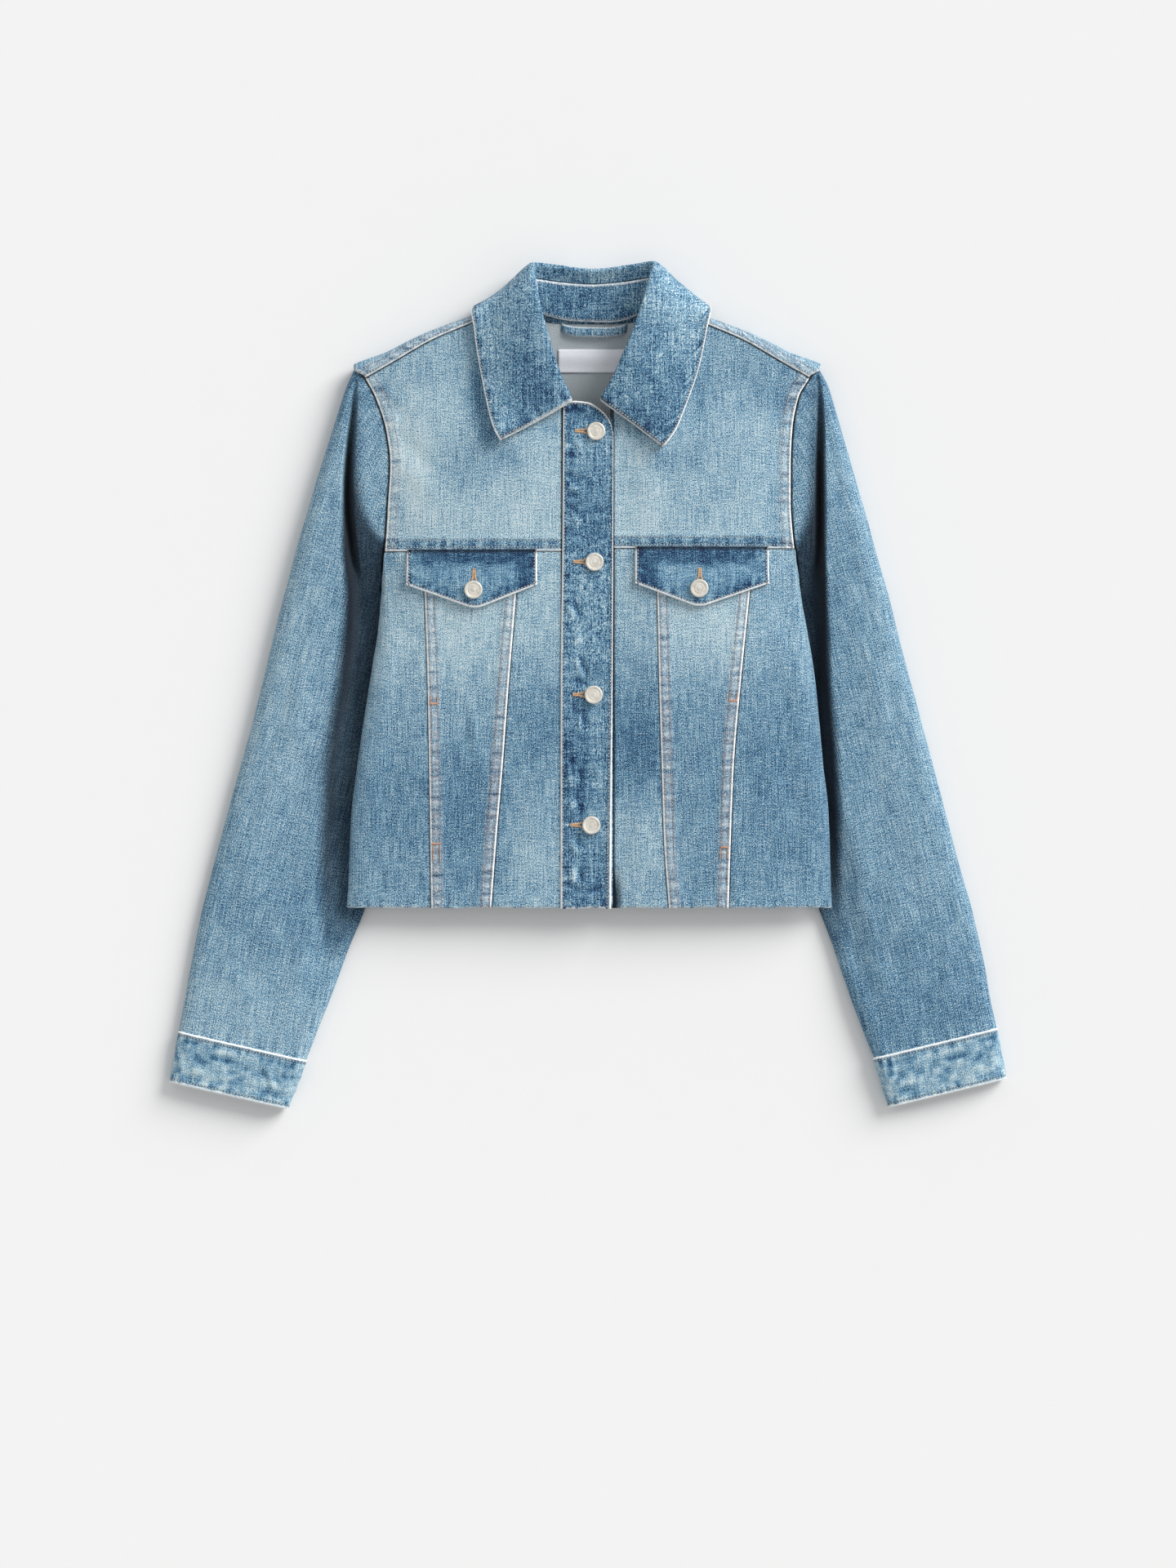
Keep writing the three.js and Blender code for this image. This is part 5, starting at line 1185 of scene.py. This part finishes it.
for name, arm in sleeves.items():
    rings = []
    for down in cuff_rows:
        section = sleeve_section(arm, down, CUFF_PROUD, under=8, turn=16, top=56, inner_turn=16,
                                 inner_under=8)
        across = np.concatenate([section[0], np.linspace(section[0][-1], section[0][0], 42)[1:-1]])
        height = np.concatenate([section[1], np.zeros(40)])
        rings.append(sleeve_point(arm, down, across, height))
    grid = np.stack(rings)
    grid = np.concatenate([grid, grid[:, :1]], 1)
    cuff = lay_out(grid)
    turn_up(cuff, 5, np.argmax(grid[5, :, 2]))
    cuff.normal[:, -1] = cuff.normal[:, 0]
    s, d = cuff.along["bottom"], cuff.near["bottom"]
    cuff.grain = np.stack([s, d, np.zeros_like(s)], -1)
    upper = ease((grid[..., 2] - 1.5) / 4)
    seeds = 700 if arm.side < 0 else 730
    pucker = ripple(s + 4 * np.sin(d / 7), 11, seeds) * np.sin(np.pi * np.clip(d / 40, 0, 1)) ** 0.7
    cross = ripple(d * 1.3 + 3 * np.sin(s / 9), 9, seeds + 1)
    strokes = creases(s + arm.side * 2, d, CUFF_CREASES)
    cuff.lift += (0.4 * pucker + 0.15 * cross + 0.7 * strokes) * upper
    cuff.fade += 0.71 + 0.13 * ripple(s + 5 * np.sin(d / 6), 13, seeds + 2) + 0.06 * cross
    cuff.fade += 0.08 * ease((d - 26) / 10) - 0.08 * hill(d - 14, 7) + 0.36 * strokes
    for side, row in CUFF_ROWS.items():
        turned_edge(cuff, side, seeds + 5, row=row, rope=0.3, white=1.2, wide=1.3)
    cuff.lift *= upper
    made = make_cloth(f"cuff_{name}_cloth", cuff, DOUBLE_WALL, cuff_denim, cuff_denim, ring=True)
    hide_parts(f"cuff_{name}")
    for side, row in CUFF_ROWS.items():
        cuff_stitches.append(place_stitches(cuff, side, row, span=(8, 122)))

sew("cuff_stitching", cuff_stitches, pale_thread)

# Collar
# The collar is a shirt collar of four layers: a band that stands
# round the neck and a leaf that folds over it and lies on the fronts
# in two points. Its turned edge is worn white with puckers behind it.

COLLAR_COLUMNS = "neck seam roll brow edge".split()
ON = None  # a height left open lies on the front below it
COLLAR = [
    ((-18, 240, ON), (-14.5, 239, 29.5), (-12, 237, 33.5), (-42, 218.5, 33), (-72.4, 203, ON)),
    ((-27, 257, ON), (-22.5, 255, 32), (-20.6, 253.8, 36.5), (-50, 234, 35), (-76.8, 212, ON)),
    ((-36, 281, ON), (-31, 280, 34), (-29.6, 279.8, 39), (-59, 257, 36), (-82.2, 231, ON)),
    ((-43, 303, ON), (-37.5, 304, 34), (-36.8, 306, 39.5), (-66, 286, 35), (-88.6, 262, ON)),
    ((-49.5, 319, 22), (-41.5, 322, 32), (-42.3, 326.6, 38), (-70, 312, 33), (-93.2, 289, ON)),
    ((-46, 320, 17), (-42.5, 331, 27), (-44.6, 340, 34), (-75, 322, 26), (-95.6, 306, ON)),
    ((-43.5, 316, 12), (-43.5, 336, 21), (-45.6, 347, 29), (-73, 328, 16), (-93.6, 316.5, 7.5)),
    ((-42, 313.5, 10), (-43.7, 338, 18), (-45.4, 350, 26), (-68, 334.5, 8), (-83, 318.5, 0.4)),
    ((-40, 311, 8.6), (-43.5, 339, 15.5), (-44.4, 352, 22), (-59, 340, 4), (-70, 304, 0)),
    ((-22, 305.5, 6.2), (-24, 337, 10), (-25, 349.8, 16), (-32, 346, 0), (-38, 292, 0)),
    ((3, 303.4, 5.6), (4, 335.2, 8.6), (5, 346.8, 13.5), (5, 344, 0), (4, 288, 0)),
    ((27, 304, 6.2), (32, 337.4, 10), (34, 349.9, 16), (41, 346.4, 0), (47, 292, 0)),
    ((45, 311, 8.6), (52.3, 340, 15.5), (54.4, 352.8, 22), (68, 342, 4), (78, 305, 0)),
    ((47, 314, 10), (52, 338.5, 18), (55, 350, 26), (76, 337, 8), (91, 319.5, 0.4)),
    ((49, 317, 12), (51.5, 336, 21), (54.2, 346, 29), (81, 331, 16), (100.4, 316.5, 7.5)),
    ((52, 320, 17), (49.5, 329, 27), (52, 338.5, 34), (81, 322, 26), (101, 305, ON)),
    ((54, 318, 22), (46.8, 319, 32), (47.4, 323.1, 38), (76, 309, 33), (97.4, 289, ON)),
    ((47, 300, ON), (41, 301, 34), (40.4, 302.6, 39.5), (70, 283, 35), (91.4, 262, ON)),
    ((36, 277, ON), (31, 276.4, 34), (29.8, 276.3, 39), (60, 254, 36), (81, 232, ON)),
    ((26, 255, ON), (21.4, 254, 32), (19.4, 253.6, 36.5), (49, 232, 35), (71.6, 210, ON)),
    ((17.4, 240, ON), (12.5, 238.6, 29.5), (9.5, 237.6, 33.5), (39, 215.5, 33), (62.6, 197.6, ON))]
LEAF_WALL, STAND_WALL, STAND_ROW = 1.6, 1.4, 2.2


def bend_through(points, count):
    """Points along a smooth curve through the given ones; each may itself be a row of points."""
    points = [np.asarray(p, float) for p in points]
    points = [2 * points[0] - points[1], *points, 2 * points[-1] - points[-2]]
    made = []
    for t in np.linspace(0, len(points) - 3, count):
        k = min(int(t), len(points) - 4)
        a, b, c, d = points[k:k + 4]
        w = t - k
        gaps = [np.sqrt(np.linalg.norm(q - p, axis=-1, keepdims=True)) + 1e-9
                for p, q in ((a, b), (b, c), (c, d))]
        into = ((b - a) / gaps[0] - (c - a) / (gaps[0] + gaps[1]) + (c - b) / gaps[1]) * gaps[1]
        out = ((c - b) / gaps[1] - (d - b) / (gaps[1] + gaps[2]) + (d - c) / gaps[2]) * gaps[1]
        made.append(b + into * w + (3 * (c - b) - 2 * into - out) * w ** 2
                    + (2 * (b - c) + into + out) * w ** 3)
    return np.stack(made)


COLLAR_ROWS = 241  # places along the collar at which its lines are read


def collar_line(column, clear):
    points = []
    for row in COLLAR:
        px, py, pz = row[COLLAR_COLUMNS.index(column)]
        points.append((px, py, front(px, py)[2] + clear if pz is ON else pz))
    return bend_through(points, COLLAR_ROWS)


neck_line, seam_line = collar_line("neck", 1.9), collar_line("seam", 0)
roll_line, brow_line = collar_line("roll", 0), collar_line("brow", 0)
edge_line = collar_line("edge", 3.4)

collar_denim = denim_finish("collar_denim", slub=1.3, weft=0.9, fleck=3.4, blotch=0.4, cloud=0.6)
stand_steps = graded(31, fine=(0, 0.5, 1.1, 1.8, 2.6, 3.6), coarse=1.8) * 0.985
stand_grid = np.stack([mix(neck_line, seam_line, t) for t in stand_steps], 1)
stand = lay_out(stand_grid)
turn_up(stand, 120, 8)
stand.base = stand.base + stand.normal * STAND_WALL
stand.grain = stand.base.copy()
stand.fade += 0.36 + 0.1 * ripple(stand.along["left"], 17, 801)
turned_edge(stand, "left", 804, row=STAND_ROW, rope=0.16, white=0.9)
stand.wear += 0.9 * hill(stand.near["right"] - 1.0, 0.7)
stand.lift -= 0.9 * (1 - np.clip(stand.near["right"] / 1.2, 0, 1)) ** 2
stand_piece = make_cloth("collar_stand_cloth", stand, STAND_WALL, collar_denim, collar_denim)
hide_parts("collar_stand")

leaf_start = mix(seam_line, roll_line, 0.01)
leaf_curve = bend_through([leaf_start, roll_line, brow_line, edge_line], 161)
leaf_run = lengths(leaf_curve, 0)
leaf_share = leaf_run / leaf_run[-1]
leaf_steps = graded(76, coarse=1.7)
leaf_grid = np.stack([
    np.stack([np.interp(leaf_steps, leaf_share[:, i], leaf_curve[:, i, k]) for k in range(3)], -1)
    for i in range(leaf_curve.shape[1])])
leaf_grid[..., 2] = np.maximum(leaf_grid[..., 2], 0.9)
along = lengths(leaf_grid, 0)[:, -1]
even = np.interp(np.linspace(0, along[-1], 260), along, np.arange(len(along)))
low = np.minimum(even.astype(int), len(along) - 2)
part = (even - low)[:, None, None]
leaf_grid = mix(leaf_grid[low], leaf_grid[low + 1], part)
leaf = lay_out(leaf_grid)
turn_up(leaf, 30, 30)
leaf.grain = np.stack([leaf_grid[..., 0], leaf_grid[..., 1], leaf_grid[..., 2] * 0.3], -1)
lx, ly = leaf_grid[..., 0], leaf_grid[..., 1]
leaf.fade += 0.40 + 0.12 * ease((np.abs(lx) - 50) / 30) + 0.06 * ease((ly - 280) / 50)
leaf.fade = with_patches(leaf.fade, lx, ly, [
    (-52, 240, 14, 14, -0.18), (-30, 238, 12, 8, -0.12), (-62, 268, 12, 16, -0.14),
    (60, 216, 12, 12, -0.2), (74, 240, 8, 20, -0.16), (-46, 262, 12, 22, -0.1),
    (50, 262, 14, 24, -0.08), (-70, 214, 8, 8, 0.16), (44, 226, 14, 8, -0.12)])
face_up = np.clip(leaf.normal[..., 2] * 2, 0, 1)
leaf.lift += 3.2 * face_up * hill(leaf.near["right"], 16)
for end in ("bottom", "top"):
    leaf.lift += 3.4 * hill(leaf.near[end], 26) * hill(leaf.near["right"], 22)
leaf.fade += 0.16 * ripple(leaf.along["right"], 8.5, 832) * hill(leaf.near["right"] - 5, 4.5)
for edge, seed in (("right", 820), ("bottom", 824), ("top", 828)):
    turned_edge(leaf, edge, seed, rope=0.3, white=1.1, wide=1.25)
over_table = leaf.base[..., 2] / np.maximum(-leaf.normal[..., 2], 0.05)
leaf.lift = np.where(leaf.normal[..., 2] < 0, np.minimum(leaf.lift, over_table), leaf.lift)
leaf_piece = make_cloth("collar_leaf_cloth", leaf, LEAF_WALL, collar_denim, collar_denim)
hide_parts("collar_leaf")
sew("collar_stitching", [
    place_stitches(leaf, "right", EDGE_ROW),
    place_stitches(leaf, "bottom", EDGE_ROW, span=(14, -EDGE_ROW)),
    place_stitches(leaf, "top", EDGE_ROW, span=(14, -EDGE_ROW)),
    place_stitches(stand, "left", STAND_ROW, span=(60, -60)),
    place_stitches(stand, "right", STAND_ROW, span=(60, -60))], pale_thread)

# Hanger loop and label
# A folded strip of denim is caught in the neck seam at both ends to hang the jacket by. Below it a
# blank white woven label is sewn to the inside of the back yoke.

LOOP = [(-22, 303, 4.4), (-18.5, 301, 7), (-10, 299.4, 8.6), (4, 298.8, 9.2), (20, 299.2, 8.6),
        (30, 301, 7), (33, 303, 4.4)]
LOOP_WIDTH = 8.2
loop_line = bend_through(LOOP, 61)
loop_grid = np.stack([loop_line + np.array([0, -LOOP_WIDTH * t, 0.5 * math.sin(math.pi * t)])
                      for t in np.linspace(0, 1, 9)], 1)
loop = lay_out(loop_grid)
turn_up(loop, 30, 4)
loop.fade += 0.5 + 0.1 * ripple(loop.along["left"], 9, 840)
for side in ("left", "right"):
    loop.wear += 0.9 * hill(loop.near[side], 0.8)
    loop.lift -= 0.4 * hill(loop.near[side], 0.6)
loop_piece = make_cloth("hanger_loop_cloth", loop, 1.0, collar_denim, collar_denim)
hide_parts("hanger_loop")

LABEL_X, LABEL_Y, LABEL_CLEAR, LABEL_WALL = (-24.6, 34.5), (261.3, 280.8), 0.7, 0.6
label_cloth = Nodes("label_cloth")
label_place = label_cloth.add("TexCoord", {}, out=3)
weave = label_cloth.add("TexWave", {"Vector": label_place, "Scale": 900.0, "Distortion": 0.4},
                        out=1)
label_shade = label_cloth.noise(label_place, 300.0)
label_cloth.set(label_cloth.surface, {
    "Base Color": label_cloth.ramp(label_shade,
                                   [(0.3, srgb(246, 247, 255)), (0.7, srgb(252, 253, 255))]),
    "Normal": label_cloth.add("Bump", {"Height": weave, "Strength": 0.15, "Distance": 0.0001}),
    "Roughness": 0.55, "Specular IOR Level": 0.4})
label_x, label_y = np.meshgrid(np.linspace(*LABEL_X, 60), np.linspace(*LABEL_Y, 22))
label_z = floor_at(label_x, label_y) + DENIM_WALL + LABEL_CLEAR + LABEL_WALL
label = lay_out(np.stack([label_x, label_y, label_z], -1))
turn_up(label, 5, 5)
label.lift += 0.25 * np.sin(label_x / 9.0 + 1) * ease((label_y - LABEL_Y[0]) / 12)
for side in ("left", "right", "bottom", "top"):
    label.lift -= 0.25 * hill(label.near[side], 0.7)
label_finish = label_cloth.material
label_piece = make_cloth("neck_label_cloth", label, LABEL_WALL, label_finish, label_finish)
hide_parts("neck_label")

sew("yoke_stitching", front_stitches, pale_thread)

# Buttons
# Six pressed metal shank buttons, antiqued and then polished: a raised rim, a flat ring and a small
# domed centre with fine turned grooves. Each is riveted through the cloth under it.

BUTTON_RADIUS = 7.6  # a 24 line button
metal = Nodes("button_metal")
metal_place = metal.add("TexCoord", {}, out=3)
tarnish = metal.noise(metal_place, 260.0, 4.0)
metal.set(metal.surface, {
    "Base Color": metal.ramp(tarnish, [(0.3, srgb(203, 198, 187)), (0.62, srgb(226, 222, 213))]),
    "Metallic": 0.35,
    "Roughness": metal.maths("ADD", metal.maths("MULTIPLY", tarnish, 0.25), 0.38),
    "Normal": metal.add("Bump", {"Height": tarnish, "Strength": 0.05, "Distance": 0.0002})})
BUTTON_PROFILE = [  # share of the radius, height above the base
    (0.0, 2.72), (0.1, 2.72), (0.2, 2.70), (0.28, 2.66), (0.31, 2.54), (0.34, 2.66), (0.4, 2.68),
    (0.5, 2.68), (0.58, 2.66), (0.62, 2.52), (0.66, 2.66), (0.7, 2.74), (0.76, 2.84),
    (0.83, 2.92), (0.88, 2.96), (0.92, 2.9), (0.96, 2.7), (1.0, 2.2), (1.0, 1.5), (0.97, 0.9),
    (0.88, 0.3), (0.78, 0.05), (0.5, 0.0), (0.0, 0.0)]
BUTTON_SIDES = 64
placket_buttons = [(7.1, 211.0), (5.8, 102.2), (5.0, -8.2), (3.1, -116.6)]


def level_of(top, px, py):
    """The height of a finished cloth at a place on it."""
    nearest = np.argmin((top[..., 0] - px) ** 2 + (top[..., 1] - py) ** 2)
    return float(top[..., 2].flat[nearest])


def make_button(name, node, px, py, base):
    turn = np.arange(BUTTON_SIDES) * 2 * np.pi / BUTTON_SIDES
    points = [(px, py, base + BUTTON_PROFILE[0][1])]
    for share, high in BUTTON_PROFILE[1:-1]:
        radius = share * BUTTON_RADIUS
        points += [(px + radius * math.cos(a), py + radius * math.sin(a), base + high)
                   for a in turn]
    points.append((px, py, base))
    faces, rings, last = [], len(BUTTON_PROFILE) - 2, len(points) - 1
    for k in range(BUTTON_SIDES):
        n = (k + 1) % BUTTON_SIDES
        faces.append((0, 1 + k, 1 + n))
        for ring in range(rings - 1):
            a, b = 1 + ring * BUTTON_SIDES + k, 1 + ring * BUTTON_SIDES + n
            faces.append((a, a + BUTTON_SIDES, b + BUTTON_SIDES, b))
        faces.append((last, last - BUTTON_SIDES + n, last - BUTTON_SIDES + k))
    mesh = bpy.data.meshes.new(name)
    mesh.from_pydata([tuple(v * MM for v in p) for p in points], [], faces)
    mesh.polygons.foreach_set("use_smooth", [True] * len(faces))
    mesh.materials.append(metal.material)
    button = put_down(name, mesh)
    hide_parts(node)


for k, (px, py) in enumerate(placket_buttons, start=1):
    seat = level_of(placket_top, px, py) + 0.3
    make_button(f"shank_button_{k}", f"placket_button_{k}", px, py, seat)
for name, (px, py) in {"right": (-94.9, 79.0), "left": (92.7, 80.2)}.items():
    make_button(f"flap_shank_button_{name}", f"flap_button_{name}", px, py,
                level_of(flap_tops[name], px, py) + 0.2)

# Buttonholes and tacks
# The buttonholes are worked in golden tan thread: a slit with close
# satin stitches on both sides and a round eye towards the button.
# Copper tacks hold the ends of the two welt pockets in the outer seams.

tan_thread = thread_finish("tan_thread", srgb(222, 188, 152), srgb(172, 132, 98))
copper_thread = thread_finish("copper_thread", srgb(232, 180, 148), srgb(192, 136, 106))
EYE_RADIUS, SLIT_LONG, SATIN_PITCH = 1.9, 8.6, 0.62
holes = [(px - 8.6, py + 0.2, math.pi, placket_top) for px, py in placket_buttons]
holes += [(-94.4, 87.6, math.pi / 2, flap_tops["right"]),
          (93.2, 88.6, math.pi / 2, flap_tops["left"])]
satin = []
for hx, hy, heading, ground in holes:
    outline = [(0.3 * EYE_RADIUS + EYE_RADIUS * math.cos(a), EYE_RADIUS * math.sin(a))
               for a in np.linspace(-2.4, 2.4, 15)]
    count = int(SLIT_LONG / SATIN_PITCH)
    for k in range(count):
        run = -1.2 - k * SATIN_PITCH
        for hand in (-1, 1):
            outline.append((run, hand * mix(1.0, 0.55, k / count)))
    cos, sin = math.cos(heading + math.pi), math.sin(heading + math.pi)
    for ox, oy in outline:
        wx, wy = hx + ox * cos - oy * sin, hy + ox * sin + oy * cos
        out = np.array([ox - 0.3 * EYE_RADIUS, oy]) if ox > -1 else np.array([0.0, oy])
        out = out / (np.linalg.norm(out) + 1e-9)
        direction = (out[0] * cos - out[1] * sin, out[0] * sin + out[1] * cos, 0)
        satin.append((wx, wy, level_of(ground, wx, wy) + 0.2, *direction, 0, 0, 1))
sew("buttonhole_stitching", [np.array(satin)], tan_thread, length=2.0, radius=0.4)

TACKS = [  # seam side, height, length down the seam, and where its crossbar lies
    (-1, -12.0, 7.0, "bottom"), (-1, -139.0, 14.0, "top"),
    (1, -9.5, 7.0, "bottom"), (1, -139.5, 9.0, "top")]
TACK_PITCH = 1.6
tacks = []
for side, mid_y, tall, bar in TACKS:
    seam_out = FRONT_SEAMS.outerL if side < 0 else FRONT_SEAMS.outerR
    for k in range(int(tall / TACK_PITCH)):
        ty = mid_y - tall / 2 + (k + 0.5) * TACK_PITCH
        for inset in PANEL_ROWS:
            tx = side * (float(seam_out(ty)) - inset)
            tacks.append((tx, ty, float(front(tx, ty)[2]) + 0.75, 0, 1, 0, 0, 0, 1))
    bar_y = mid_y + (tall / 2 if bar == "top" else -tall / 2)
    for k in range(7):
        tx = side * (float(seam_out(bar_y)) - 1.9 - k)
        tacks.append((tx, bar_y, float(front(tx, bar_y)[2]) + 0.8, 0.5, 1, 0, 0, 0, 1))
sew("pocket_tacks", [np.array(tacks, float)], copper_thread, length=1.9, radius=0.4)
